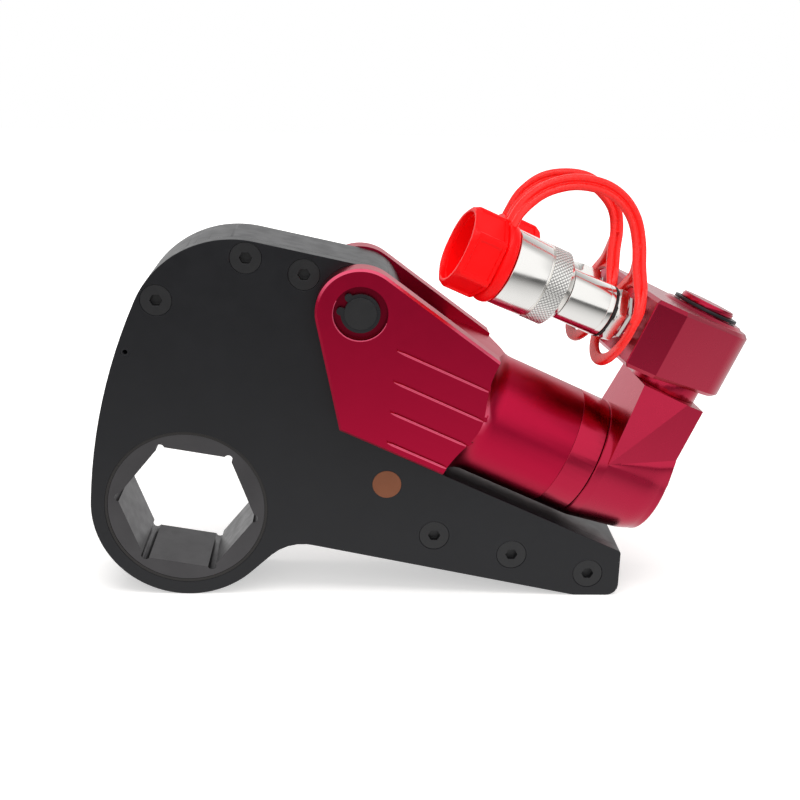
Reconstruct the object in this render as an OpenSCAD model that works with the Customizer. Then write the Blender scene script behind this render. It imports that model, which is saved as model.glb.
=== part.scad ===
// Low-profile hydraulic torque wrench: hexagon ratchet cassette, power head, two-axis swivel, couplers.
// Origin on the hexagon axis, midway through the cassette. X runs along the tool, Y along the
// hexagon axis (front face towards -Y), Z up. The tool stands on its nose and on its foot.

/* [Cassette] */
// Width across flats of the drive hexagon
hex_af = 46; // [36:1:48]
// Turn of the hexagon in the photograph's rest position, degrees
hex_turn = -9.3; // [-30:0.1:30]
// Thickness of the whole cassette
cassette_t = 32; // [28:0.5:36]
// Thickness of the front cover plate
cover_t = 5.5; // [4:0.5:6.5]
// Thickness of the back wall of the casing
back_wall_t = 5.5; // [4:0.5:6.5]
// Wall of the nose round the hub's bushing
nose_wall = 5.1; // [4.6:0.1:9]
// Radius of the crown at the upper left
crown_r = 39.2; // [36:0.2:42]
// Place of the crown's centre along X
crown_x = 19.5; // [17:0.5:22]
// Depth of the crown's centre below the barrel axis's level
crown_drop = 13.54; // [10:0.02:16]
// Radius of the long bulge that joins nose and crown
flank_r = 225; // [160:5:300]
// Radius of the lug round the link pin
lug_r = 15.5; // [14:0.5:18]
// Length of the reaction foot from the hexagon axis
foot_l = 168.2; // [160:0.2:180]
// Where the flat of the heel starts
heel_x = 151; // [140:1:156]
// Where the underside of the foot starts
arch_x = 48; // [44:1:52]
// Height of the arch above the ground line
arch_h = 30; // [26:1:32]
// Concave radius between nose and arch
arch_r = 18; // [12:1:24]
// Radius of the foot's lower corners
toe_r = 4.5; // [2:0.5:6]

/* [Ratchet] */
// Outer radius of the ratchet hub seen in both faces
hub_r = 29.7; // [29:0.1:31]
// Radial thickness of the hub bushings
bush_t = 1.2; // [0.8:0.1:1.6]
// Tip radius of the teeth
tooth_tip_r = 32; // [31.5:0.1:33]
// Depth of the teeth
tooth_h = 2.8; // [2:0.1:3]
// Number of teeth
tooth_count = 30; // [24:1:36]
// Width of the toothed ring
tooth_w = 9; // [7:0.5:10]
// Thickness of one drive plate
drive_plate_t = 5; // [4:0.1:5.5]
// Diameter of the crank pin
crank_pin_d = 10; // [8:0.5:11]

/* [Power head] */
// Tilt of the barrel axis below the horizontal, degrees
head_tilt = 24.17; // [20:0.1:28]
// Distance from the hexagon axis to the barrel axis
axis_h = 78.04; // [74:0.1:82]
// Outer radius of the barrel
barrel_r = 23.7; // [22:0.1:25]
// Bore of the cylinder
bore_d = 28; // [24:0.5:30]
// Stroke of the piston
stroke = 33; // [24:1:33]
// Width over the two clevis cheeks
head_w = 50; // [48:0.5:56]
// Gap on each side between cheek and cassette
cheek_gap = 0.4; // [0.3:0.1:0.8]
// Link pin's place along the barrel axis
link_u = 27.1; // [26:0.1:29]
// Link pin's place across the barrel axis
link_w = 21; // [20:0.1:22]
// Diameter of the link pin
link_d = 11.7; // [10:0.1:13]
// Floor of the clevis slot along the barrel axis
slot_u = 62.5; // [60:0.5:66]
// Rear end of the clevis flats
flats_u = 82; // [78:0.5:86]
// Joint line between body and end cap
cap_u = 120.5; // [119:0.5:124]
// Length of the end cap
cap_l = 11.3; // [10:0.1:13]

/* [Swivel] */
// Rest turn of the elbow about the barrel axis, degrees
elbow_roll = 2.6; // [-10:0.1:10]
// Rest turn of the manifold about the post, degrees
block_yaw = 6.5; // [-15:0.1:15]
// Reach of the post axis behind the elbow's front face
post_reach = 16.8; // [15:0.2:19]
// Height of the elbow's top above the barrel axis
elbow_top = 38; // [36:0.5:42]
// Radius of the stub that carries the elbow
stub_r = 13; // [11:0.5:13.5]
// Radius of the swivel post
post_r = 10.5; // [9:0.5:11.5]
// Height of the manifold block
block_h = 26.6; // [24:0.2:30]
// Width of the manifold block
block_w = 62; // [60:1:66]
// Reach of the port face from the post
port_u = 33; // [31:0.5:36]
// Radius of the manifold's round rear end
block_r = 19.2; // [18.5:0.1:22]
// Distance between the two ports
port_gap = 34; // [33:0.5:38]

/* [Couplers] */
// Outer diameter of the locking sleeve
sleeve_d = 27.8; // [26:0.2:29]
// Outer diameter of the coupler body
coupler_d = 19.4; // [18:0.2:21]
// Width across flats of the coupler nut
nut_af = 18.6; // [17:0.2:20]
// Outer diameter of the male coupler's nose
male_d = 16.6; // [15:0.2:18]
// Outer diameter of the dust covers
cap_d = 28.8; // [28:0.2:31]
// Length of the dust plug's grip
plug_grip_l = 13.4; // [11:0.2:16]
// Length of the dust cap
cap_l_all = 15.6; // [13:0.2:18]
// Width of the moulded straps
strap_w = 5; // [4:0.5:8]
// Thickness of the moulded straps
strap_t = 2.6; // [1.6:0.2:3]

/* [Hidden] */

// smoothness of turned faces
fine = 96;
// smoothness of small parts
small = 48;
// overrun of every cut
over = 1;
// running clearance of shafts and hinges
fit = 0.05;
// clearance between bodies that move past each other
clear = 0.35;
// gap round a part seated in its bore
seat = 0.01;

// casing
nose_r = hub_r + bush_t + nose_wall;
ground_z = -nose_r;
crown_z = axis_h - crown_drop;
cover_y = -cassette_t / 2 + cover_t;
back_y = cassette_t / 2 - back_wall_t;
foot_gap = 1.3;
foot_w = -(barrel_r + foot_gap);
toe_bevel = 1.2;
abut_gap = 0.5;
abut_w = 11;
screw_head_r = 5.8;
screw_head_h = 4;
screw_shank_r = 3;
screw_l = 16;
screw_socket_af = 4;
screw_socket_h = 2.4;
screw_seat = 0.15;
crown_screw_angles = [82, 46.5, 149.2];
crown_screw_reach_share = [0.837, 0.941, 0.827];
foot_screw_count = 3;
foot_screw_pitch = 30.4;
foot_screw_inset = 12.5;
foot_screw_rise_share = [0.384, 0.322, 0.253];
dowel_r = 5.5;
dowel_past = 2.76;
dowel_below = 12.35;
dowel_l = 20;
dowel_proud = 0.1;
roll_pin_r = 1.7;
roll_pin_hole_r = 0.9;
roll_pin_l = 14;
roll_pin_edge = 3.4;
roll_pin_level = 2.9;

// ratchet
crank_r = norm([axis_h, stroke / 2]);
swing = atan(stroke / 2 / axis_h);
root_r = tooth_tip_r - tooth_h;
corner_relief_r = 1.6;
hex_corner_r = hex_af / 2 / cos(30);
hub_proud = 0.4;
eye_r = 10;
eye_room = 2.4;
ring_r = tooth_tip_r + 0.2;
arm_r = 17;
arm_at = 44.5;
segment_w = 16;
segment_l = 12;
segment_top = tooth_tip_r + segment_l;
spring_room = 5;
spring_t = 0.6;
spring_w = 6;
spacer_top = (segment_top + spring_room + axis_h - eye_r) / 2;
blade_l = 16;
plate_y = tooth_w / 2 + clear;

// power head
slot_half = cassette_t / 2 + cheek_gap;
cheek_r = 16.3;
cheek_bevel = 0.9;
cheek_top_slope = 12.5;
cheek_nose_u = 38.7;
cheek_bottom_w = -22.3;
shoulder_r = 9.5;
shoulder_u = 90.3;
web_top_w = 25;
groove_w = 1.7;
groove_h = 0.8;
groove_count = 4;
groove_top_w = 15.1;
groove_pitch = 11.1;
groove_start_u = 45;
groove_lean = 3.9;
recess_r = 9.8;
recess_h = 2.2;
front_wall_t = 11.5;
bore_u = slot_u + front_wall_t;
spigot_l = 5.3;
spigot_t = 3;
piston_l = 12;
piston_end_gap = 0.5;
rod_r = 7;
seal_r = 2;
stub_l = 25.2;
joint_gap = 0.4;
rod_seal_u1 = bore_u - front_wall_t / 4;
rod_seal_u0 = rod_seal_u1 - 2 * seal_r;
piston_u1 = cap_u - piston_end_gap;
piston_u0 = piston_u1 - piston_l;
piston_seal_u = piston_u1 - piston_l / 2;

// swivel
elbow_u = cap_u + cap_l + joint_gap;
post_u = elbow_u + post_reach;
elbow_flare = 3.8;
elbow_face_half = 17;
elbow_mid_l = 21.8;
elbow_mid_u = elbow_u + elbow_mid_l;
elbow_mid_half = 18.8;
elbow_back_l = 29.3;
elbow_back_u = elbow_u + elbow_back_l;
elbow_tail_l = 31.2;
elbow_tail_u = elbow_u + elbow_tail_l;
elbow_tail_r = 17;
elbow_cone_r = 20.8;
elbow_round_l = 22.8;
elbow_round_u = elbow_u + elbow_round_l;
elbow_fan_w = 14;
elbow_fan_r = 18.5;
elbow_slab = 0.2;
clip_t = 1.3;
clip_rim = 2.1;
clip_slit_share = 0.12;
link_clip_turn = 84;
post_clip_turn = 70;
collar_r = 13;
post_foot_r = 9;
post_foot_w = 20;
block_w0 = 43.6;
post_top = block_w0 + block_h;
block_bevel = 1.4;
block_shoulder_u = 20.4;
washer_r = 16.3;
washer_top_r = 14.9;
washer_t = 1.4;
post_clip_r = 12.8;
post_head_r = 10.4;
post_head_taper = 0.3;
post_head_h = 2.1;
port_bore_l = 11;

// couplers
port_w = 57;
neck_r = 5.6;
neck_l = 3.2;
jam_af = 15;
jam_l = 2.6;
nut_l = 4.8;
seal_ring_l = 0.8;
body_l = 17.6;
knurl_l = 7.6;
knurl_taper_l = 3.3;
knurl_step = 0.6;
sleeve_front_l = 13.1;
neck_hold_l = 9;
core_step = 1;
core_wall = 2.4;
core_end_gap = 1.1;
poppet_stem_r = 2.4;
poppet_setback = 4;
sleeve_edge = 0.5;
mouth_room = 1;
rear_hex_af = 19.6;
rear_neck_step = 0.5;
male_end_z = 47;
male_wall = 2;
male_groove_h = 1;
male_groove_l = 3;
male_groove_setback = 6;
cover_flange_l = 2.2;
plug_flange_l = 4.2;
cover_gap = 0.4;
cover_wall = 2.2;
cover_floor_t = 1;
panel_count = 6;
panel_inset = 0.9;
panel_turn = 0;
rim_l = 1.4;
plug_nose_l = 6.6;
plug_nose_t = 1.5;
plug_nose_gap = 0.5;
cap_z0 = 35.4;
strap_ring_r = 14.8;
strap_ring_w = 3.8;
strap_ring_t = 2;
strap_ring_at = 0.7;
strap_ring_drop = 1;
strap_steps = 22;
plug_strap_rise = 27;
cap_strap_rise = 30;

// levels along a coupler, from the port's face
jam_z = neck_l + jam_l;
nut_z = jam_z + nut_l;
body_z = nut_z + seal_ring_l;
cone_z = body_z + body_l;
knurl_z = cone_z + knurl_taper_l;
smooth_z = knurl_z + knurl_l + knurl_step;
mouth_z = smooth_z + sleeve_front_l;
mouth_r = male_d / 2 + mouth_room;
flange_z = mouth_z + cover_gap;
grip_z = flange_z + plug_flange_l;
core_r = coupler_d / 2 - core_step;
core_end_z = flange_z - plug_nose_l - core_end_gap;
male_hex_z = nut_z + nut_l;
cap_z1 = cap_z0 + cap_l_all;
panel_r = (cap_d / 2 - panel_inset) / cos(180 / panel_count);

module head_frame() {
  rotate([0, head_tilt, 0]) translate([0, 0, axis_h]) children();
}

module elbow_frame() {
  head_frame() rotate([-elbow_roll, 0, 0]) children();
}

module block_frame() {
  elbow_frame() translate([post_u, 0, 0]) rotate([0, 0, block_yaw]) children();
}

// side -1 is the front port, side 1 the rear one; z runs out of the port
module port_frame(side) {
  block_frame() translate([-port_u, side * port_gap / 2, port_w]) rotate([0, -90, 0]) children();
}

// plate parallel to XZ between two values of y
module plate(y0, y1) {
  translate([0, y1, 0]) rotate([90, 0, 0]) linear_extrude(y1 - y0) children();
}

module bar_y(r, y0, y1, faces = fine) {
  translate([0, y1, 0]) rotate([90, 0, 0]) cylinder(r = r, h = y1 - y0, $fn = faces);
}

module bar_x(r, u0, u1, faces = fine) {
  translate([u0, 0, 0]) rotate([0, 90, 0]) cylinder(r = r, h = u1 - u0, $fn = faces);
}

module tube_x(ro, ri, u0, u1, faces = fine) {
  difference() {
    bar_x(ro, u0, u1, faces);
    bar_x(ri, u0 - over, u1 + over, faces);
  }
}

module tube_z(ro, ri, z0, z1, faces = fine) {
  difference() {
    translate([0, 0, z0]) cylinder(r = ro, h = z1 - z0, $fn = faces);
    translate([0, 0, z0 - over]) cylinder(r = ri, h = z1 - z0 + 2 * over, $fn = faces);
  }
}

module hex_z(af, z0, z1) {
  translate([0, 0, z0]) rotate([0, 0, 30]) cylinder(r = af / 2 / cos(30), h = z1 - z0, $fn = 6);
}

// a point given along and across the barrel axis, in XZ
function head_xz(u, w) = [u * cos(head_tilt) + (w + axis_h) * sin(head_tilt),
  -u * sin(head_tilt) + (w + axis_h) * cos(head_tilt)];

// centre of the circle of radius r that holds two circles inside it, on their left
function outer_tangent(c1, r1, c2, r2, r) =
  let (d = norm(c2 - c1), e = (c2 - c1) / d, a = r - r1, b = r - r2,
    s = (a * a - b * b + d * d) / (2 * d), q = sqrt(a * a - s * s))
  c1 + s * e + q * [e[1], -e[0]];

// outline of the whole cassette in XZ
module cassette_outline() {
  nose = [0, 0];
  crown = [crown_x, crown_z];
  flank = outer_tangent(nose, nose_r, crown, crown_r, flank_r);
  a0 = atan2(nose[1] - flank[1], nose[0] - flank[0]);
  a1 = atan2(crown[1] - flank[1], crown[0] - flank[0]);
  sweep = (a1 - a0 + 540) % 360 - 180;
  steps = 12;
  difference() {
    offset(r = -arch_r) offset(r = arch_r) union() {
      hull() {
        circle(r = nose_r, $fn = fine * 2);
        translate(crown) circle(r = crown_r, $fn = fine * 2);
        polygon([nose, crown, for (i = [0:steps]) let (t = a0 + sweep * i / steps)
          flank + flank_r * [cos(t), sin(t)]]);
        translate(head_xz(link_u, link_w)) circle(r = lug_r, $fn = fine);
        polygon([nose, head_xz(slot_u - abut_gap, abut_w), head_xz(slot_u - abut_gap, foot_w)]);
      }
      hull() {
        polygon([head_xz(slot_u - abut_gap, foot_w), nose + [nose_r, 0], head_xz(slot_u, foot_w + over)]);
        translate([arch_x, ground_z + arch_h - toe_r]) circle(r = toe_r, $fn = small);
        translate([heel_x, ground_z + toe_r]) circle(r = toe_r, $fn = small);
        translate([foot_l - toe_r, ground_z + toe_r]) circle(r = toe_r, $fn = small);
        translate(head_xz(along_u(foot_l - toe_bevel, foot_w - toe_bevel), foot_w - toe_bevel))
          circle(r = toe_bevel, $fn = small);
      }
    }
    // the head lies over the foot with a square corner
    polygon([head_xz(slot_u - abut_gap, foot_w), head_xz(foot_l, foot_w),
      head_xz(foot_l, abut_w), head_xz(slot_u - abut_gap, abut_w)]);
  }
}

// how far along the barrel axis a place at a given x and w is
function along_u(x, w) = (x - (w + axis_h) * sin(head_tilt)) / cos(head_tilt);

// upper and lower edge of the foot at a given x
function foot_top_z(x) = head_xz(along_u(x, foot_w), foot_w)[1];
function foot_low_z(x) = ground_z + arch_h * max(0, heel_x - x) / (heel_x - arch_x);

// room for the ratchet, the swinging drive arm and the rod
module chamber_outline() {
  hull() {
    circle(r = tooth_tip_r + 2 * clear, $fn = fine);
    for (a = [-1, -0.5, 0, 0.5, 1]) rotate(-(head_tilt + a * swing))
      translate([0, crank_r]) circle(r = eye_r + eye_room, $fn = small);
  }
}

module rod_passage() {
  head_frame() {
    bar_x(rod_r + 2 * clear, 0, slot_u + over);
    plate(-tooth_w / 2 - clear, tooth_w / 2 + clear) offset(delta = 2 * clear) rod_eye_outline();
  }
}

module screw_places() {
  for (i = [0:len(crown_screw_angles) - 1]) {
    a = crown_screw_angles[i];
    reach = crown_r * crown_screw_reach_share[i];
    translate([crown_x + reach * cos(a), 0, crown_z + reach * sin(a)]) children();
  }
  for (i = [0:foot_screw_count - 1]) {
    x = foot_l - foot_screw_inset - i * foot_screw_pitch;
    low = foot_low_z(x);
    translate([x, 0, low + foot_screw_rise_share[i] * (foot_top_z(x) - low)]) children();
  }
}

module screw(grow = 0) {
  y0 = -cassette_t / 2 + screw_seat;
  translate([0, y0, 0]) rotate([-90, 0, 0]) {
    cylinder(r1 = screw_head_r + grow, r2 = screw_shank_r + grow, h = screw_head_h, $fn = small);
    cylinder(r = screw_shank_r + grow, h = screw_l + grow, $fn = small);
  }
}

module screw_sinks() {
  screw_places() {
    screw(fit);
    bar_y(screw_head_r + fit, -cassette_t / 2 - over, -cassette_t / 2 + screw_seat, small);
  }
}

module dowel_place() {
  p = head_xz(slot_u + dowel_past, foot_w - dowel_below);
  translate([p[0], 0, p[1]]) children();
}

module dowel_bore() {
  dowel_place() bar_y(dowel_r, -cassette_t / 2 - over, -cassette_t / 2 + dowel_l, small);
}

module link_bore() {
  head_frame() translate([link_u, 0, link_w]) bar_y(link_d / 2 + fit, -head_w, head_w, small);
}

// just inside the flank, a little below the crown's centre
module roll_pin_place() {
  c = outer_tangent([0, 0], nose_r, [crown_x, crown_z], crown_r, flank_r);
  z = crown_z - roll_pin_level;
  x = c[0] - sqrt(pow(flank_r - roll_pin_edge, 2) - pow(z - c[1], 2));
  translate([x, 0, z]) children();
}

module main_casing() {
  color("#26262a") difference() {
    plate(cover_y, cassette_t / 2) cassette_outline();
    plate(cover_y - over, back_y) chamber_outline();
    rod_passage();
    bar_y(hub_r + bush_t, back_y - over, cassette_t / 2 + over);
    screw_sinks();
    dowel_bore();
    link_bore();
    roll_pin_place() bar_y(roll_pin_r, -cassette_t / 2 - over, -cassette_t / 2 + roll_pin_l, small);
  }
}

module cover_plate() {
  color("#2b2b30") difference() {
    plate(-cassette_t / 2, cover_y) cassette_outline();
    bar_y(hub_r + bush_t, -cassette_t / 2 - over, cover_y + over);
    screw_sinks();
    dowel_bore();
    link_bore();
    roll_pin_place() bar_y(roll_pin_r, -cassette_t / 2 - over, cover_y + over, small);
  }
}

module cover_screws() {
  color("#1c1c20") difference() {
    screw_places() screw();
    screw_places() translate([0, -cassette_t / 2 + screw_seat + screw_socket_h, 0]) rotate([90, 0, 0])
      cylinder(r = screw_socket_af / 2 / cos(30), h = screw_socket_h + over, $fn = 6);
  }
}

module locating_dowel() {
  color("#a5582a") dowel_place()
    bar_y(dowel_r - seat, -cassette_t / 2 - dowel_proud, -cassette_t / 2 + dowel_l - over, small);
}

module roll_pin() {
  color("#3a3a3e") roll_pin_place() difference() {
    bar_y(roll_pin_r - seat, -cassette_t / 2 + screw_seat, -cassette_t / 2 + roll_pin_l - over, small);
    bar_y(roll_pin_hole_r, -cassette_t / 2 - over, -cassette_t / 2 + roll_pin_l, small);
  }
}

module hub_bush(y0, y1) {
  difference() {
    bar_y(hub_r + bush_t, y0, y1);
    bar_y(hub_r + fit, y0 - over, y1 + over);
  }
}

module hub_bush_front() {
  color("#4a4038") hub_bush(-cassette_t / 2 + screw_seat, cover_y);
}

module hub_bush_back() {
  color("#4a4038") hub_bush(back_y, cassette_t / 2 - screw_seat);
}

// sawtooth outline, steep on the driving side
module wheel_outline() {
  pitch = 360 / tooth_count;
  lean_share = 0.12;
  land_share = 0.2;
  polygon([for (i = [0:tooth_count - 1]) let (a = i * pitch, b = a + lean_share * pitch,
    c = b + land_share * pitch) each [root_r * [cos(a), sin(a)],
    tooth_tip_r * [cos(b), sin(b)], tooth_tip_r * [cos(c), sin(c)]]]);
}

module ratchet_wheel() {
  color("#303034") difference() {
    union() {
      plate(-tooth_w / 2, tooth_w / 2) wheel_outline();
      bar_y(hub_r, -cassette_t / 2 + hub_proud, cassette_t / 2 - hub_proud);
    }
    rotate([0, -hex_turn, 0]) {
      translate([0, cassette_t, 0]) rotate([90, 0, 0])
        cylinder(r = hex_corner_r, h = 2 * cassette_t, $fn = 6);
      for (i = [0:5]) rotate([0, i * 60, 0]) translate([hex_corner_r - corner_relief_r / 2, 0, 0])
        bar_y(corner_relief_r, -cassette_t, cassette_t, small / 2);
    }
  }
}

// frame of the drive arm at rest, z along the arm
module arm_frame() {
  rotate([0, head_tilt + swing, 0]) children();
}

module arm_outline() {
  hull() {
    translate([0, arm_at]) circle(r = arm_r, $fn = small);
    translate([0, crank_r]) circle(r = eye_r, $fn = small);
  }
}

module drive_plate(y0, y1) {
  difference() {
    arm_frame() plate(y0, y1) union() {
      circle(r = ring_r, $fn = fine);
      arm_outline();
    }
    bar_y(hub_r + fit, y0 - over, y1 + over);
    arm_frame() translate([0, 0, crank_r]) bar_y(crank_pin_d / 2, y0 - over, y1 + over, small);
  }
}

module drive_plate_front() {
  color("#6f6f74") drive_plate(-plate_y - drive_plate_t, -plate_y);
}

module drive_plate_back() {
  color("#6f6f74") drive_plate(plate_y, plate_y + drive_plate_t);
}

module crank_pin() {
  color("#8a8a90") arm_frame() translate([0, 0, crank_r])
    bar_y(crank_pin_d / 2 - seat, -plate_y - drive_plate_t, plate_y + drive_plate_t, small);
}

// block between the drive plates that guides the toothed segment
module arm_spacer() {
  half = segment_w / 2 + fit;
  color("#6f6f74") arm_frame() difference() {
    plate(-plate_y, plate_y) intersection() {
      arm_outline();
      translate([-arm_r, 0]) square([2 * arm_r, spacer_top]);
    }
    bar_y(tooth_tip_r + 2 * clear, -tooth_w, tooth_w);
    translate([-half, -tooth_w, 0]) cube([2 * half, 2 * tooth_w, segment_top + spring_room]);
  }
}

// toothed segment that slides along the arm and drives the wheel
module drive_segment() {
  half = tooth_w / 2 - fit;
  color("#7c7c82") difference() {
    arm_frame() translate([-segment_w / 2, -half, 0]) cube([segment_w, 2 * half, segment_top]);
    plate(-tooth_w, tooth_w) offset(delta = clear) wheel_outline();
  }
}

// leaf spring between segment and spacer
module segment_spring() {
  steps = 16;
  reach = segment_w / 2 - spring_t;
  mid = segment_top + spring_room / 2;
  swell = spring_room / 2 - spring_t / 2 - fit;
  wave = [for (i = [0:steps]) [(2 * i / steps - 1) * reach, mid - swell * cos(360 * i / steps)]];
  color("#9a9aa0") arm_frame() plate(-spring_w / 2, spring_w / 2) polygon(concat(
    [for (p = wave) p + [0, spring_t / 2]],
    [for (i = [steps:-1:0]) wave[i] - [0, spring_t / 2]]));
}

// outline of a cheek, along and across the barrel axis
module cheek_plan() {
  top_end = link_w + cheek_r * cos(cheek_top_slope)
    - (flats_u - link_u) * tan(cheek_top_slope) + cheek_r * sin(cheek_top_slope) * tan(cheek_top_slope);
  hull() {
    translate([link_u, link_w]) circle(r = cheek_r, $fn = fine);
    polygon([[cheek_nose_u, cheek_bottom_w], [flats_u + shoulder_r, cheek_bottom_w],
      [flats_u, top_end], [flats_u + shoulder_r, barrel_r]]);
  }
}

// both cheeks as one slab with chamfered edges, and the barrel's part behind it
module cheek_slab() {
  hull() {
    plate(-head_w / 2, head_w / 2) offset(delta = -cheek_bevel) cheek_plan();
    plate(cheek_bevel - head_w / 2, head_w / 2 - cheek_bevel) cheek_plan();
  }
  plate(-head_w / 2, head_w / 2) translate([flats_u, -barrel_r - over])
    square([cap_u - flats_u, 2 * (barrel_r + over)]);
}

// the turned blank that shapes barrel and shoulder
module head_blank() {
  far = 2 * head_w;
  rim = barrel_r + shoulder_r;
  rotate([0, 90, 0]) rotate_extrude($fn = fine) polygon(concat(
    [[0, -far], [far, -far], [far, shoulder_u - shoulder_r]],
    [for (t = [0:6:90]) [rim - shoulder_r * sin(t), shoulder_u - shoulder_r * cos(t)]],
    [[barrel_r, cap_u], [0, cap_u]]));
}

module cheek_grooves() {
  for (s = [-1, 1], i = [0:groove_count - 1]) {
    u0 = groove_start_u + i * groove_lean;
    translate([u0, s * head_w / 2, groove_top_w - i * groove_pitch]) {
      bar_y(groove_w / 2, -groove_h, groove_h, small / 2);
      translate([0, -groove_h, -groove_w / 2]) cube([flats_u + shoulder_r - u0, 2 * groove_h, groove_w]);
    }
  }
}

module cylinder_body() {
  color("#b00a32") head_frame() difference() {
    intersection() {
      head_blank();
      cheek_slab();
    }
    translate([-head_w, -slot_half, -2 * head_w]) cube([head_w + slot_u, 2 * slot_half, 4 * head_w]);
    translate([slot_u - over, -slot_half, web_top_w]) cube([2 * head_w, 2 * slot_half, head_w]);
    bar_x(rod_r + fit, slot_u - over, bore_u + over);
    bar_x(rod_r + seal_r, rod_seal_u0, rod_seal_u1);
    bar_x(bore_d / 2, bore_u, cap_u + over);
    bar_x(bore_d / 2 + spigot_t, cap_u - spigot_l, cap_u + over);
    translate([link_u, 0, link_w]) bar_y(link_d / 2, -head_w, head_w, small);
    for (s = [-1, 1]) translate([link_u, s * head_w / 2, link_w]) bar_y(recess_r, -recess_h, recess_h);
    cheek_grooves();
  }
}

module link_pin() {
  color("#2e2e32") head_frame() translate([link_u, 0, link_w]) difference() {
    bar_y(link_d / 2 - seat, -head_w / 2 + screw_seat, head_w / 2 - screw_seat, small);
    for (s = [-1, 1]) translate([0, s * (head_w / 2 - recess_h / 2), 0]) difference() {
      bar_y(link_d, -clip_t / 2, clip_t / 2, small);
      bar_y(link_d / 2 - clip_t / 2, -clip_t, clip_t, small);
    }
  }
}

// circlip with two ears
module clip_outline(ri, ro) {
  gap_angle = 24;
  ear_r = (ro - ri) * 0.75;
  difference() {
    union() {
      circle(r = ro, $fn = small);
      for (s = [-1, 1]) rotate(s * gap_angle) translate([0, ro]) circle(r = ear_r, $fn = small / 2);
    }
    circle(r = ri, $fn = small);
    polygon([[0, 0], 2 * ro * [-sin(gap_angle / 2), cos(gap_angle / 2)],
      2 * ro * [sin(gap_angle / 2), cos(gap_angle / 2)]]);
  }
}

module link_clip(side) {
  mid = side * (head_w / 2 - recess_h / 2);
  color("#3c3c42") head_frame() translate([link_u, 0, link_w])
    plate(mid - clip_t / 2 + fit, mid + clip_t / 2 - fit) rotate(link_clip_turn)
      clip_outline(link_d / 2 - clip_t / 2 + seat, link_d / 2 + clip_t);
}

module link_clip_front() {
  link_clip(-1);
}

module link_clip_back() {
  link_clip(1);
}

module end_cap() {
  color("#b40c36") head_frame() difference() {
    union() {
      bar_x(barrel_r, cap_u + fit, cap_u + cap_l);
      bar_x(bore_d / 2 + spigot_t - seat, cap_u - spigot_l, cap_u + over);
      bar_x(stub_r, cap_u + cap_l - over, cap_u + cap_l + stub_l);
    }
    bar_x(bore_d / 2, cap_u - spigot_l - over, cap_u + fit);
    tube_x(stub_r + over, stub_r - clip_t / 2, clip_u(), clip_u() + clip_t);
    for (i = [0:1]) tube_x(stub_r + over, stub_r - seal_r, seal_u(i), seal_u(i) + seal_r + 2 * fit);
  }
}

function clip_u() = cap_u + cap_l + stub_l - 2 * clip_t;
function seal_u(i) = elbow_u + 3 * seal_r + i * 3 * seal_r;

module rod_seal() {
  color("#1a1a1a") head_frame()
    tube_x(rod_r + seal_r - seat, rod_r + seat, rod_seal_u0 + fit, rod_seal_u1 - fit);
}

module piston() {
  color("#8d9096") head_frame() difference() {
    bar_x(bore_d / 2 - fit, piston_u0, piston_u1);
    bar_x(rod_r - seal_r, piston_u0 - over, piston_u1 + over);
    tube_x(bore_d / 2 + over, bore_d / 2 - seal_r, piston_seal_u - seal_r, piston_seal_u + seal_r);
  }
}

module piston_seal() {
  color("#1a1a1a") head_frame()
    tube_x(bore_d / 2 - fit, bore_d / 2 - seal_r + seat, piston_seal_u - seal_r + fit,
      piston_seal_u + seal_r - fit);
}

// flat eye of the rod, with the blade that joins it to the round rod
module rod_eye_outline() {
  eye_u = stroke / 2;
  hull() {
    translate([eye_u, 0]) circle(r = eye_r, $fn = small);
    translate([eye_u, crank_r - axis_h]) circle(r = eye_r, $fn = small);
    translate([eye_u, -rod_r]) square([blade_l + over, 2 * rod_r]);
  }
}

module piston_rod() {
  eye_u = stroke / 2;
  rise = crank_r - axis_h;
  half = tooth_w / 2 - fit;
  slot_r = crank_pin_d / 2 + clear;
  color("#c8ccd2") head_frame() difference() {
    union() {
      bar_x(rod_r, eye_u + blade_l, piston_u0);
      bar_x(rod_r - seal_r - seat, piston_u0 - over, piston_u1);
      intersection() {
        plate(-half, half) rod_eye_outline();
        bar_x(eye_r + rise, 0, piston_u0);
      }
    }
    translate([eye_u, 0, 0]) bar_y(slot_r, -head_w, head_w, small);
    translate([eye_u, 0, rise]) bar_y(slot_r, -head_w, head_w, small);
    translate([eye_u - slot_r, -head_w, 0]) cube([2 * slot_r, 2 * head_w, rise]);
  }
}

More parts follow.
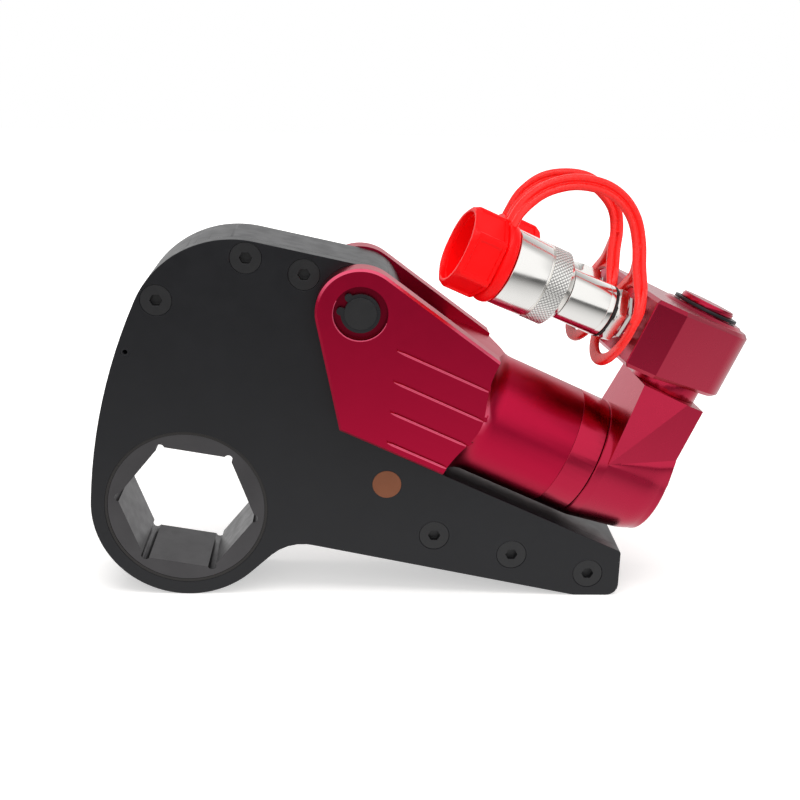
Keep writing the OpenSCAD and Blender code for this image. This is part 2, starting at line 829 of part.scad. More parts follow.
// turns on the barrel's stub and rises to the flat that carries the post
module elbow() {
  front_u = elbow_u + elbow_flare;
  mouth = stub_r + clip_rim + clear;
  color("#b20b34") elbow_frame() difference() {
    union() {
      bar_x(barrel_r, elbow_u, front_u + elbow_slab);
      hull() {
        bar_x(barrel_r, front_u, front_u + elbow_slab, small);
        translate([front_u, -elbow_face_half, elbow_top - elbow_slab])
          cube([elbow_slab, 2 * elbow_face_half, elbow_slab]);
        translate([elbow_mid_u, -elbow_mid_half, elbow_top - elbow_slab])
          cube([elbow_slab, 2 * elbow_mid_half, elbow_slab]);
        translate([elbow_back_u - elbow_slab, -elbow_face_half, elbow_fan_w])
          cube([elbow_slab, 2 * elbow_face_half, elbow_top - elbow_fan_w]);
        bar_x(elbow_fan_r, elbow_back_u - elbow_slab, elbow_back_u, small);
      }
      // round rear end
      rotate([0, 90, 0]) rotate_extrude($fn = fine) polygon(concat(
        [[0, front_u], [barrel_r, front_u]],
        [for (t = [0:10:90]) [elbow_tail_r + (elbow_cone_r - elbow_tail_r) * cos(t),
          elbow_round_u + (elbow_tail_u - elbow_round_u) * sin(t)]],
        [[0, elbow_tail_u]]));
    }
    bar_x(stub_r + fit, elbow_u - over, elbow_tail_u + over);
    bar_x(mouth, clip_u() - fit, elbow_tail_u + over);
    translate([post_u, 0, post_foot_w]) cylinder(r = post_foot_r, h = elbow_top, $fn = small);
  }
}

module elbow_clip() {
  color("#2a2a2e") elbow_frame() translate([clip_u() + fit, 0, 0]) rotate([0, 90, 0])
    linear_extrude(clip_t - 2 * fit) difference() {
      circle(r = stub_r + clip_rim, $fn = small);
      circle(r = stub_r - clip_t / 2 + seat, $fn = small);
      polygon([[0, 0], 2 * stub_r * [-clip_slit_share, 1], 2 * stub_r * [clip_slit_share, 1]]);
    }
}

module elbow_seals() {
  color("#1a1a1a") head_frame() for (i = [0:1])
    tube_x(stub_r - seat, stub_r - seal_r + seat, seal_u(i) + fit, seal_u(i) + seal_r + fit);
}

module swivel_post() {
  color("#9c0f30") elbow_frame() translate([post_u, 0, 0]) difference() {
    union() {
      translate([0, 0, post_foot_w + fit])
        cylinder(r = post_foot_r - seat, h = elbow_top - post_foot_w, $fn = small);
      translate([0, 0, elbow_top + seat])
        cylinder(r = collar_r, h = block_w0 - clear - elbow_top, $fn = fine);
      translate([0, 0, elbow_top + seat])
        cylinder(r = post_r, h = post_top - elbow_top + 3 * washer_t, $fn = fine);
      translate([0, 0, post_top + 2 * washer_t])
        cylinder(r1 = post_head_r, r2 = post_head_r - post_head_taper, h = post_head_h, $fn = fine);
    }
    tube_z(post_r + over, post_r - clip_t, post_top + washer_t + fit, post_top + washer_t + clip_t + fit);
    for (i = [0:2])
      tube_z(post_r + over, post_r - seal_r, post_seal_w(i), post_seal_w(i) + seal_r + 2 * fit);
  }
}

function post_seal_w(i) = block_w0 + block_h * (i + 1) / 4 - seal_r / 2;

module post_seals() {
  color("#1a1a1a") elbow_frame() translate([post_u, 0, 0]) for (i = [0:2])
    tube_z(post_r - seat, post_r - seal_r + seat, post_seal_w(i) + fit, post_seal_w(i) + seal_r + fit);
}

module post_clip() {
  color("#2a2a2e") elbow_frame() translate([post_u, 0, post_top + washer_t + 2 * fit])
    rotate([0, 0, post_clip_turn]) linear_extrude(clip_t - 2 * fit) difference() {
      circle(r = post_clip_r, $fn = small);
      circle(r = post_r - clip_t + seat, $fn = small);
      polygon([[0, 0], 2 * post_r * [-clip_slit_share, 1], 2 * post_r * [clip_slit_share, 1]]);
    }
}

module block_plan(inset) {
  hull() {
    circle(r = block_r - inset, $fn = fine);
    translate([-port_u + inset, -block_w / 2 + inset])
      square([port_u - block_shoulder_u - inset, block_w - 2 * inset]);
  }
}

module manifold_block() {
  color("#a00a30") block_frame() difference() {
    union() {
      hull() {
        translate([0, 0, block_w0]) linear_extrude(block_h) block_plan(block_bevel);
        translate([0, 0, block_w0 + block_bevel]) linear_extrude(block_h - 2 * block_bevel) block_plan(0);
      }
      translate([0, 0, post_top]) rotate_extrude($fn = fine) polygon([[0, -over], [washer_r, -over],
        [washer_r, 0], [washer_top_r, washer_t - clear], [0, washer_t - clear]]);
    }
    translate([0, 0, block_w0 - over])
      cylinder(r = post_r + fit, h = block_h + washer_t + over, $fn = fine);
    for (s = [-1, 1]) translate([-port_u, s * port_gap / 2, port_w])
      bar_x(neck_r, -over, port_bore_l, small);
  }
}

module nipple() {
  difference() {
    union() {
      translate([0, 0, -neck_hold_l])
        cylinder(r = neck_r - seat, h = neck_hold_l + neck_l + over, $fn = small);
      hex_z(jam_af, neck_l, jam_z);
    }
    translate([0, 0, -neck_hold_l - over]) cylinder(r = neck_r / 2, h = 2 * port_bore_l, $fn = small);
  }
}

module front_nipple() {
  color("#c9ccd0") port_frame(-1) nipple();
}

module rear_nipple() {
  color("#c9ccd0") port_frame(1) nipple();
}

module front_body() {
  color("#cfd2d6") port_frame(-1) difference() {
    union() {
      hex_z(nut_af, jam_z + fit, nut_z);
      translate([0, 0, nut_z - over]) cylinder(r = core_r, h = seal_ring_l + 2 * over, $fn = fine);
      translate([0, 0, body_z]) cylinder(r = coupler_d / 2, h = body_l, $fn = fine);
      translate([0, 0, cone_z - over])
        cylinder(r = core_r - fit, h = core_end_z - cone_z + over, $fn = fine);
    }
    translate([0, 0, jam_z - over]) cylinder(r = neck_r / 2, h = mouth_z, $fn = small);
    translate([0, 0, body_z + body_l / 2]) cylinder(r = core_r - core_wall, h = mouth_z, $fn = small);
  }
}

module front_seal_ring() {
  color("#141414") port_frame(-1)
    tube_z(coupler_d / 2 - seat, core_r + seat, nut_z + fit, body_z - fit);
}

module front_sleeve() {
  r = sleeve_d / 2;
  color("#d6d8dc") port_frame(-1) difference() {
    union() {
      translate([0, 0, cone_z + clear]) cylinder(r1 = coupler_d / 2 + sleeve_edge, r2 = r - sleeve_edge,
        h = knurl_taper_l - clear, $fn = fine);
      translate([0, 0, knurl_z]) cylinder(r = r, h = knurl_l, $fn = fine);
      translate([0, 0, knurl_z]) cylinder(r = r - knurl_step, h = smooth_z - knurl_z + over, $fn = fine);
      translate([0, 0, smooth_z]) cylinder(r = r, h = sleeve_front_l, $fn = fine);
    }
    translate([0, 0, cone_z]) cylinder(r = core_r + fit, h = mouth_z, $fn = fine);
    translate([0, 0, knurl_z + knurl_l]) cylinder(r = mouth_r, h = mouth_z, $fn = fine);
  }
}

module front_poppet() {
  color("#b9bcc0") port_frame(-1) {
    translate([0, 0, body_z + body_l / 2 + fit])
      cylinder(r = core_r - core_wall - seat, h = body_l, $fn = small);
    translate([0, 0, body_z + body_l])
      cylinder(r = poppet_stem_r, h = mouth_z - poppet_setback - body_z - body_l, $fn = small);
  }
}

module rear_body() {
  color("#cfd2d6") port_frame(1) difference() {
    union() {
      hex_z(rear_hex_af, jam_z + fit, male_hex_z);
      translate([0, 0, male_hex_z - over])
        cylinder(r = coupler_d / 2 - rear_neck_step, h = body_l / 2 + over, $fn = fine);
      translate([0, 0, male_hex_z]) cylinder(r = male_d / 2, h = male_end_z - male_hex_z, $fn = fine);
    }
    translate([0, 0, jam_z - over]) cylinder(r = neck_r / 2, h = male_end_z, $fn = small);
    translate([0, 0, male_end_z - body_l])
      cylinder(r = male_d / 2 - male_wall, h = body_l + over, $fn = small);
    translate([0, 0, male_end_z - male_groove_setback - male_groove_l])
      tube_z(male_d, male_d / 2 - male_groove_h, 0, male_groove_l);
  }
}

module rear_poppet() {
  color("#b9bcc0") port_frame(1) {
    translate([0, 0, male_end_z - body_l + fit])
      cylinder(r = male_d / 2 - male_wall - seat, h = body_l / 2, $fn = small);
    translate([0, 0, male_end_z - body_l / 2 - over]) cylinder(r = male_d / 6, h = body_l / 2, $fn = small);
  }
}

// cup with flat panels for the fingers, z along its axis, rounded off towards both ends
module grip_panels(z0, l) {
  translate([0, 0, z0]) intersection() {
    rotate([0, 0, panel_turn]) cylinder(r = panel_r, h = l, $fn = panel_count);
    rotate_extrude($fn = fine) polygon([[0, 0], [cap_d / 2, 0], [panel_r, rim_l],
      [panel_r, l - rim_l], [cap_d / 2, l], [0, l]]);
  }
}

module dust_plug() {
  color("#ee1414") port_frame(-1) difference() {
    union() {
      translate([0, 0, flange_z]) cylinder(r = cap_d / 2, h = plug_flange_l, $fn = fine);
      grip_panels(grip_z - over, plug_grip_l + over);
      translate([0, 0, flange_z - plug_nose_l])
        cylinder(r = mouth_r - plug_nose_gap, h = plug_nose_l + over, $fn = fine);
    }
    translate([0, 0, grip_z + cover_floor_t])
      cylinder(r = cap_d / 2 - cover_floor_t - cover_wall, h = plug_grip_l, $fn = fine);
    translate([0, 0, flange_z - plug_nose_l - over])
      cylinder(r = mouth_r - plug_nose_gap - plug_nose_t, h = plug_nose_l, $fn = fine);
  }
}

module dust_cap() {
  color("#ee1414") port_frame(1) difference() {
    union() {
      grip_panels(cap_z0, cap_l_all);
      translate([0, 0, cap_z0]) cylinder(r = cap_d / 2, h = cover_flange_l, $fn = fine);
      translate([0, 0, cap_z1 - cover_flange_l]) cylinder(r = cap_d / 2, h = cover_flange_l, $fn = fine);
    }
    translate([0, 0, cap_z0 - over])
      cylinder(r = male_d / 2 + clear, h = male_end_z + clear - cap_z0 + over, $fn = fine);
  }
}

// cubic curve through the strap's two ends, with named rise
function bezier(p, t) = pow(1 - t, 3) * p[0] + 3 * pow(1 - t, 2) * t * p[1]
  + 3 * (1 - t) * t * t * p[2] + pow(t, 3) * p[3];
function bezier_dir(p, t) = let (d = pow(1 - t, 2) * (p[1] - p[0]) + 2 * (1 - t) * t * (p[2] - p[1])
  + t * t * (p[3] - p[2])) d / norm(d);

// band of the strap in the plane of x (radial) and y (out of the port)
module strap_band(p) {
  side = [for (i = [0:strap_steps]) let (t = i / strap_steps, d = bezier_dir(p, t))
    [bezier(p, t), strap_t / 2 * [-d[1], d[0]]]];
  polygon(concat([for (s = side) s[0] + s[1]], [for (i = [strap_steps:-1:0]) side[i][0] - side[i][1]]));
}

// rise is the height of the strap's handles above its foot
module strap(foot_z, foot_r, rise) {
  ring_top = strap_ring_r - strap_ring_drop;
  ring_z = strap_ring_at + strap_ring_t / 2;
  span = foot_z - ring_z;
  lean_share = 0.04;
  pull_share = 0.11;
  lift_share = 1.22;
  p = [[foot_r, foot_z], [foot_r + rise, foot_z - lean_share * span],
    [foot_r + lift_share * rise, ring_z + pull_share * span], [ring_top, ring_z]];
  union() {
    translate([0, strap_w / 2, 0]) rotate([90, 0, 0]) linear_extrude(strap_w) strap_band(p);
    translate([-strap_ring_drop, 0, strap_ring_at]) linear_extrude(strap_ring_t) difference() {
      circle(r = strap_ring_r + strap_ring_w / 2, $fn = small);
      circle(r = strap_ring_r - strap_ring_w / 2, $fn = small);
    }
  }
}

module plug_strap() {
  color("#f02018") port_frame(-1)
    strap(flange_z + plug_flange_l / 2, cap_d / 2 + clear, plug_strap_rise);
}

module cap_strap() {
  color("#f02018") port_frame(1)
    strap(cap_z1 - cover_flange_l / 2, max(panel_r, cap_d / 2) + clear, cap_strap_rise);
}

main_casing();
cover_plate();
cover_screws();
locating_dowel();
roll_pin();
hub_bush_front();
hub_bush_back();
ratchet_wheel();
drive_plate_front();
drive_plate_back();
arm_spacer();
drive_segment();
segment_spring();
crank_pin();
cylinder_body();
end_cap();
rod_seal();
piston();
piston_seal();
piston_rod();
link_pin();
link_clip_front();
link_clip_back();
elbow();
elbow_clip();
elbow_seals();
swivel_post();
post_clip();
post_seals();
manifold_block();
front_nipple();
front_body();
front_seal_ring();
front_sleeve();
front_poppet();
rear_nipple();
rear_body();
rear_poppet();
dust_plug();
plug_strap();
dust_cap();
cap_strap();
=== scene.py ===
"""Looks of a low-profile hydraulic torque wrench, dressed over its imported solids.

Sizes inside the classes are in millimetres. Every mesh goes to Blender in metres, in the row's frame,
with its object at the origin.
"""

import logging
import math
from dataclasses import dataclass
from enum import Enum

import bmesh
import bpy
import numpy as np
from mathutils import Matrix, Vector


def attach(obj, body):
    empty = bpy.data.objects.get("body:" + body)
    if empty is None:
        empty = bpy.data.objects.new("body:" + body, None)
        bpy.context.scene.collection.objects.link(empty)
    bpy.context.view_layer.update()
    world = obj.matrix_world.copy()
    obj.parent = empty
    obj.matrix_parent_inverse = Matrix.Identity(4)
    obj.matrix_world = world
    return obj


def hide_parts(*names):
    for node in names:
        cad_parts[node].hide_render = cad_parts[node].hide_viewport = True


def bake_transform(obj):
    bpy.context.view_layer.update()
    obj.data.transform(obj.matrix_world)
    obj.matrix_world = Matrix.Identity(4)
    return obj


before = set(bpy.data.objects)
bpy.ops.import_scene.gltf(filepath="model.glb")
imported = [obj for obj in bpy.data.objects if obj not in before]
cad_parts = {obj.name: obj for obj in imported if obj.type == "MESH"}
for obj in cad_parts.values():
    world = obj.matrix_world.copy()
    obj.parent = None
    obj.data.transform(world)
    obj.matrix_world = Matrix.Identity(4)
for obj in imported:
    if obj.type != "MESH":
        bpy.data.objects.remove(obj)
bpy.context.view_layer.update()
LOG = logging.getLogger("wrench")
MM = 0.001
# Noise scales per metre: the tool's lines, broad patches, and smears in the roughness.
LINES_SCALE, BROAD_SCALE, SMEAR_SCALE = 2600, 55, 210
# Depth of the finest surface detail, in metres.
BUMP_DEPTH = 0.00006
# Share of its colour that a metal keeps under painted shade: in the knurl's cuts and in the counterbore round
# the link pin.
CUT_SHADE, RECESS_SHADE = 0.3, 0.4
# Colour of the painted highlight on the broken red edges and on the cheeks' beads.
PAINTED_HIGHLIGHT_RED = (1.0, 0.13, 0.24)


# ---- local frames of the tool


@dataclass(frozen=True)
class Place:
    """A local frame: its origin and its unit axes as rows, in millimetres of the row's frame."""

    origin: np.ndarray
    axes: np.ndarray

    def out(self, points: np.ndarray) -> np.ndarray:
        """Local points to the row's frame.

        Args:
            points: an array whose last axis holds x, y and z.

        Returns:
            The same array of points in the row's frame.
        """
        return self.origin + np.asarray(points, float) @ self.axes

    def at(self, x: float, y: float, z: float) -> "Place":
        """The same axes with the origin moved to a local point."""
        return Place(self.out(np.array([x, y, z])), self.axes)

    def turned(self, axis: int, degrees: float) -> "Place":
        """Turns the frame about one of its own axes.

        Args:
            axis: 0, 1 or 2 for x, y or z.
            degrees: the turn by the right-hand rule.

        Returns:
            The turned frame.
        """
        spin = np.array(Matrix.Rotation(math.radians(degrees), 3, "XYZ"[axis])).T
        return Place(self.origin, spin @ self.axes)


TILT = 24.17
AXIS_H = 78.04
ELBOW_ROLL = 2.6
BLOCK_YAW = 6.5
POST_U = 149.0
ROW = Place(np.zeros(3), np.eye(3))
HEAD = ROW.turned(1, TILT).at(0, 0, AXIS_H)
ELBOW = HEAD.turned(0, -ELBOW_ROLL)
BLOCK = ELBOW.at(POST_U, 0, 0).turned(2, BLOCK_YAW)


def port(side: int) -> Place:
    """Frame of a port: z runs out of it and x is up the manifold. side is -1 in front and 1 behind."""
    return BLOCK.at(-33.0, side * 17.0, 57.0).turned(1, -90.0)


# ---- surfaces from arrays


@dataclass
class Shell:
    """A grid surface: points in metres and quads between them."""

    points: np.ndarray
    quads: np.ndarray

    @staticmethod
    def grid(points: np.ndarray, wrap_rows: bool = False, wrap_cols: bool = True) -> "Shell":
        """Makes quads between neighbouring rows and columns of points.

        Args:
            points: rows x columns x 3, in millimetres of the row's frame.
            wrap_rows: whether the last row joins the first.
            wrap_cols: whether the last column joins the first.

        Returns:
            The surface, in metres.
        """
        rows, cols = points.shape[:2]
        i = np.arange(rows if wrap_rows else rows - 1)[:, None]
        j = np.arange(cols if wrap_cols else cols - 1)[None, :]
        i1, j1 = (i + 1) % rows, (j + 1) % cols
        quads = np.stack([i * cols + j, i * cols + j1, i1 * cols + j1, i1 * cols + j], axis=-1)
        return Shell(points.reshape(-1, 3) * MM, quads.reshape(-1, 4))


def rounded(corners: list[tuple[float, float, float]], steps: int = 4) -> np.ndarray:
    """A closed outline with each corner replaced by an arc that is tangent to both its sides.

    The arc of fillet f starts f * tan(half the turn) before the corner, and its points are the corner's
    two tangent points swept about the arc's centre.

    Args:
        corners: (radius, height, fillet) of each corner in order; a fillet of 0 keeps it sharp.
        steps: segments of each arc.

    Returns:
        The outline's points as (radius, height) rows, first point not repeated.
    """
    pts = np.array([c[:2] for c in corners], float)
    out = []
    for k, (x, y, f) in enumerate(corners):
        a, c, b = pts[k - 1], pts[k], pts[(k + 1) % len(pts)]
        if f <= 0:
            out.append(c)
            continue
        u, v = (a - c), (b - c)
        lu, lv = np.linalg.norm(u), np.linalg.norm(v)
        u, v = u / lu, v / lv
        half = math.acos(float(np.clip(u @ v, -1, 1))) / 2
        reach = min(f / math.tan(half), 0.49 * lu, 0.49 * lv)
        r = reach * math.tan(half)
        mid = c + (u + v) / np.linalg.norm(u + v) * (r / math.sin(half))
        p, q = c + u * reach - mid, c + v * reach - mid
        turn = math.atan2(p[0] * q[1] - p[1] * q[0], float(p @ q))
        t = np.linspace(0, turn, steps + 1)
        out.extend(mid + np.stack([p[0] * np.cos(t) - p[1] * np.sin(t),
                                   p[0] * np.sin(t) + p[1] * np.cos(t)], axis=1))
    return np.array(out, float)


def turned(place: Place, outline: np.ndarray, sides: int = 96) -> Shell:
    """A solid of revolution: each outline point (r, h) goes round to (r cos t, r sin t, h).

    Args:
        place: the frame whose z is the axis.
        outline: (radius, height) rows, closed.
        sides: columns round the axis.

    Returns:
        The turned surface.
    """
    t = np.linspace(0, 2 * np.pi, sides, endpoint=False)
    r, h = outline[:, :1], outline[:, 1:]
    grid = np.stack([r * np.cos(t), r * np.sin(t), h + 0 * t], axis=-1)
    return Shell.grid(place.out(grid), wrap_rows=True)


def hexed(place: Place, outline: np.ndarray, af: float, turn: float = 0.0) -> Shell:
    """A chamfered hexagon: the smaller of the outline's radius and the flat's, af / 2 / cos(t).

    Args:
        place: the frame whose z is the axis.
        outline: (radius, height) rows of the turned blank, closed.
        af: width across flats.
        turn: angle of a flat's middle from local x, in degrees.

    Returns:
        The surface.
    """
    steps = np.linspace(-30, 30, 11)[:-1]
    t = np.radians((np.arange(6)[:, None] * 60 + steps).reshape(-1))
    flat = af / 2 / np.cos((t + np.pi / 6) % (np.pi / 3) - np.pi / 6)
    r = np.minimum(outline[:, :1], flat[None, :])
    t = t + math.radians(turn)
    grid = np.stack([r * np.cos(t), r * np.sin(t), outline[:, 1:] + 0 * t], axis=-1)
    return Shell.grid(place.out(grid), wrap_rows=True)


def swept(path: np.ndarray, across: np.ndarray, section: np.ndarray, closed: bool = False) -> Shell:
    """Carries a closed section along a path: point + s * across + n * (across x direction).

    Args:
        path: n x 3 points of the row's frame, in millimetres.
        across: n x 3 vectors that give the section's first direction at each point.
        section: m x 2 closed outline, or n x m x 2 where it changes along the path.
        closed: whether the path returns to its start.

    Returns:
        The tube, capped with a fan when the path is open.
    """
    if closed:
        along = np.roll(path, -1, 0) - np.roll(path, 1, 0)
    else:
        along = np.gradient(path, axis=0)
    along /= np.linalg.norm(along, axis=1, keepdims=True)
    side = across - np.sum(across * along, axis=1, keepdims=True) * along
    side /= np.linalg.norm(side, axis=1, keepdims=True)
    rise = np.cross(side, along)
    section = np.broadcast_to(section, (len(path),) + section.shape[-2:])
    grid = (path[:, None, :] + section[..., :1] * side[:, None, :] + section[..., 1:] * rise[:, None, :])
    if not closed:
        ends = [np.repeat(g.mean(0)[None, None], grid.shape[1], 1) for g in (grid[0], grid[-1])]
        grid = np.concatenate([ends[0], grid, ends[1]], axis=0)
    return Shell.grid(grid, wrap_rows=closed)


def smooth_path(points: list[tuple[float, float, float]], count: int) -> np.ndarray:
    """A smooth open curve through points: a centripetal cubic, evenly spaced by length.

    Each stretch is a Hermite cubic whose end slopes are the mean of the neighbouring chords' slopes.

    Args:
        points: the points that the curve passes through.
        count: how many points come back.

    Returns:
        count x 3 points.
    """
    p = np.array(points, float)
    knots = np.concatenate([[0], np.cumsum(np.linalg.norm(np.diff(p, axis=0), axis=1) ** 0.5)])
    slope = np.gradient(p, knots, axis=0)
    t = np.linspace(0, knots[-1], 600)
    k = np.clip(np.searchsorted(knots, t, side="right") - 1, 0, len(p) - 2)
    h = (knots[k + 1] - knots[k])[:, None]
    s = ((t - knots[k])[:, None]) / h
    fine = ((2 * s**3 - 3 * s**2 + 1) * p[k] + (s**3 - 2 * s**2 + s) * h * slope[k]
            + (3 * s**2 - 2 * s**3) * p[k + 1] + (s**3 - s**2) * h * slope[k + 1])
    run = np.concatenate([[0], np.cumsum(np.linalg.norm(np.diff(fine, axis=0), axis=1))])
    even = np.linspace(0, run[-1], count)
    return np.stack([np.interp(even, run, fine[:, a]) for a in range(3)], axis=1)


# ---- finishes


class Grain(Enum):
    """How a surface was left by its last operation."""

    TURNED = "turned"
    MILLED = "milled"
    BLASTED = "blasted"
    MOULDED = "moulded"


@dataclass(frozen=True)
class Finish:
    """One finish of the object: constant shader values and the scale of its procedural detail."""

    name: str
    colour: tuple[float, float, float]
    metallic: float
    roughness: float
    grain: Grain
    bump: float = 0.1
    mottle: float = 0.12
    rough_spread: float = 0.08
    coat: float = 0.0
    coat_roughness: float = 0.1
    specular: float = 0.5
    grain_scale: float = 1.0
    # Mesh attribute that marks where painted shade darkens the colour.
    shade: str = ""
    # Direction of the light for the painted highlight on the broken edges.
    highlight_dir: tuple[float, ...] = ()
    # (x, z, radius) of a counterbore darkened with painted shade.
    recess: tuple[float, ...] = ()

    def material(self, place: Place = ROW) -> bpy.types.Material:
        """The finish as a node material whose detail lies on Object coordinates.

        Turned and milled grain is noise stretched across the tool's path: the Mapping node turns the
        coordinates into the piece's own frame and then squeezes them.

        Args:
            place: the piece's frame, which sets the direction of its grain.

        Returns:
            The material, made once for each finish and frame.
        """
        turn = Matrix(place.axes.tolist()).to_euler()
        key = f"{self.name}_{abs(hash(tuple(np.round(place.axes.ravel(), 3)))) % 9973}"
        old = bpy.data.materials.get(key)
        if old:
            return old
        mat = bpy.data.materials.new(key)
        mat.use_nodes = True
        mat.diffuse_color = (*self.colour, 1)
        nodes, links = mat.node_tree.nodes, mat.node_tree.links
        shader = nodes["Principled BSDF"]
        shader.inputs["Metallic"].default_value = self.metallic
        shader.inputs["Coat Weight"].default_value = self.coat
        shader.inputs["Coat Roughness"].default_value = self.coat_roughness
        shader.inputs["Specular IOR Level"].default_value = self.specular
        coords = nodes.new("ShaderNodeTexCoord")
        into = nodes.new("ShaderNodeMapping")
        into.inputs["Rotation"].default_value = turn
        links.new(coords.outputs["Object"], into.inputs["Vector"])
        squeeze = nodes.new("ShaderNodeMapping")
        squeeze.inputs["Scale"].default_value = {
            Grain.TURNED: (0.05, 0.05, 1.0), Grain.MILLED: (0.06, 1.0, 1.0),
            Grain.BLASTED: (1.0, 1.0, 1.0), Grain.MOULDED: (1.0, 1.0, 1.0)}[self.grain]
        links.new(into.outputs["Vector"], squeeze.inputs["Vector"])
        lines = self._noise(nodes, links, squeeze, LINES_SCALE * self.grain_scale, 3.0)
        broad = self._noise(nodes, links, into, BROAD_SCALE, 4.0)
        smear = self._noise(nodes, links, into, SMEAR_SCALE, 5.0)
        tint = nodes.new("ShaderNodeMix")
        tint.data_type = "RGBA"
        dark = tuple(c * (1 - self.mottle) for c in self.colour)
        light = tuple(min(1.0, c * (1 + self.mottle) + 0.01 * self.mottle) for c in self.colour)
        tint.inputs["A"].default_value = (*dark, 1)
        tint.inputs["B"].default_value = (*light, 1)
        links.new(broad.outputs["Fac"], tint.inputs["Factor"])
        colour = tint.outputs["Result"]
        # Painted shade: the colour darkens in the knurl's cuts, by the mesh attribute that shade names.
        if self.shade:
            mark = nodes.new("ShaderNodeAttribute")
            mark.attribute_name = self.shade
            deep = nodes.new("ShaderNodeMix")
            deep.data_type = "RGBA"
            links.new(mark.outputs["Fac"], deep.inputs["Factor"])
            links.new(colour, deep.inputs["A"])
            deep.inputs["B"].default_value = (*(c * CUT_SHADE for c in self.colour), 1)
            colour = deep.outputs["Result"]
        # Painted highlight: broken edges that face the light turn a bright red.
        if self.highlight_dir:
            colour = self._painted_edge_highlight(nodes, links, coords, colour)
        # Painted shade: the counterbore round the link pin is darkened.
        if self.recess:
            colour = self._painted_recess_shade(nodes, links, coords, colour)
        links.new(colour, shader.inputs["Base Color"])
        rough = nodes.new("ShaderNodeMapRange")
        rough.inputs["From Min"].default_value = 0.3
        rough.inputs["From Max"].default_value = 0.7
        rough.inputs["To Min"].default_value = max(0.02, self.roughness - self.rough_spread)
        rough.inputs["To Max"].default_value = min(1.0, self.roughness + self.rough_spread)
        links.new(smear.outputs["Fac"], rough.inputs["Value"])
        links.new(rough.outputs["Result"], shader.inputs["Roughness"])
        bump = nodes.new("ShaderNodeBump")
        bump.inputs["Strength"].default_value = self.bump
        bump.inputs["Distance"].default_value = BUMP_DEPTH
        links.new(lines.outputs["Fac"], bump.inputs["Height"])
        links.new(bump.outputs["Normal"], shader.inputs["Normal"])
        return mat

    @staticmethod
    def _share(nodes: bpy.types.Nodes, links: bpy.types.NodeLinks, source: bpy.types.NodeSocket,
               low: float, high: float, size: bool = False) -> bpy.types.NodeSocket:
        """0 to 1 while a value, or its size without the sign, goes from low to high."""
        if size:
            bare = nodes.new("ShaderNodeMath")
            bare.operation = "ABSOLUTE"
            links.new(source, bare.inputs[0])
            source = bare.outputs[0]
        share = nodes.new("ShaderNodeMapRange")
        share.inputs["From Min"].default_value = low
        share.inputs["From Max"].default_value = high
        links.new(source, share.inputs["Value"])
        return share.outputs["Result"]

    def _painted_edge_highlight(self, nodes: bpy.types.Nodes, links: bpy.types.NodeLinks, coords: bpy.types.Node,
                      colour: bpy.types.NodeSocket) -> bpy.types.NodeSocket:
        """Paints a highlight on the broken edges of the two outer faces where they face the light.

        The share is the product of: how far the point lies from the middle plane, how far the normal
        leans away from the face and not yet along it, and the normal's part along the light's direction.
        """
        depth = nodes.new("ShaderNodeSeparateXYZ")
        lean = nodes.new("ShaderNodeSeparateXYZ")
        along = nodes.new("ShaderNodeVectorMath")
        along.operation = "DOT_PRODUCT"
        along.inputs[1].default_value = self.highlight_dir
        links.new(coords.outputs["Object"], depth.inputs[0])
        links.new(coords.outputs["Normal"], lean.inputs[0])
        links.new(coords.outputs["Normal"], along.inputs[0])
        total = self._share(nodes, links, depth.outputs["Y"], 23.4 * MM, 23.9 * MM, size=True)
        for other in (self._share(nodes, links, lean.outputs["Y"], 0.3, 0.55, size=True),
                      self._share(nodes, links, lean.outputs["Y"], 0.97, 0.88, size=True),
                      self._share(nodes, links, along.outputs["Value"], -0.1, 0.2)):
            times = nodes.new("ShaderNodeMath")
            times.operation = "MULTIPLY"
            links.new(total, times.inputs[0])
            links.new(other, times.inputs[1])
            total = times.outputs[0]
        edge = nodes.new("ShaderNodeMix")
        edge.data_type = "RGBA"
        links.new(total, edge.inputs["Factor"])
        links.new(colour, edge.inputs["A"])
        edge.inputs["B"].default_value = (*PAINTED_HIGHLIGHT_RED, 1)
        return edge.outputs["Result"]

    def _painted_recess_shade(self, nodes: bpy.types.Nodes, links: bpy.types.NodeLinks, coords: bpy.types.Node,
                     colour: bpy.types.NodeSocket) -> bpy.types.NodeSocket:
        """Paints shade into the counterbore: darker inside its radius, by the distance from its axis,
        measured across Y.
        """
        across = nodes.new("ShaderNodeVectorMath")
        across.operation = "MULTIPLY"
        across.inputs[1].default_value = (1, 0, 1)
        links.new(coords.outputs["Object"], across.inputs[0])
        away = nodes.new("ShaderNodeVectorMath")
        away.operation = "DISTANCE"
        links.new(across.outputs[0], away.inputs[0])
        x, z, radius = self.recess
        away.inputs[1].default_value = (x * MM, 0, z * MM)
        deep = nodes.new("ShaderNodeMix")
        deep.data_type = "RGBA"
        share = self._share(nodes, links, away.outputs["Value"], (radius + 0.05) * MM, (radius - 0.1) * MM)
        links.new(share, deep.inputs["Factor"])
        links.new(colour, deep.inputs["A"])
        deep.inputs["B"].default_value = (*(c * RECESS_SHADE for c in self.colour), 1)
        return deep.outputs["Result"]

    @staticmethod
    def _noise(nodes: bpy.types.Nodes, links: bpy.types.NodeLinks, source: bpy.types.Node,
               scale: float, detail: float) -> bpy.types.Node:
        """A noise texture on the given coordinates."""
        tex = nodes.new("ShaderNodeTexNoise")
        tex.inputs["Scale"].default_value = scale
        tex.inputs["Detail"].default_value = detail
        links.new(source.outputs["Vector"], tex.inputs["Vector"])
        return tex


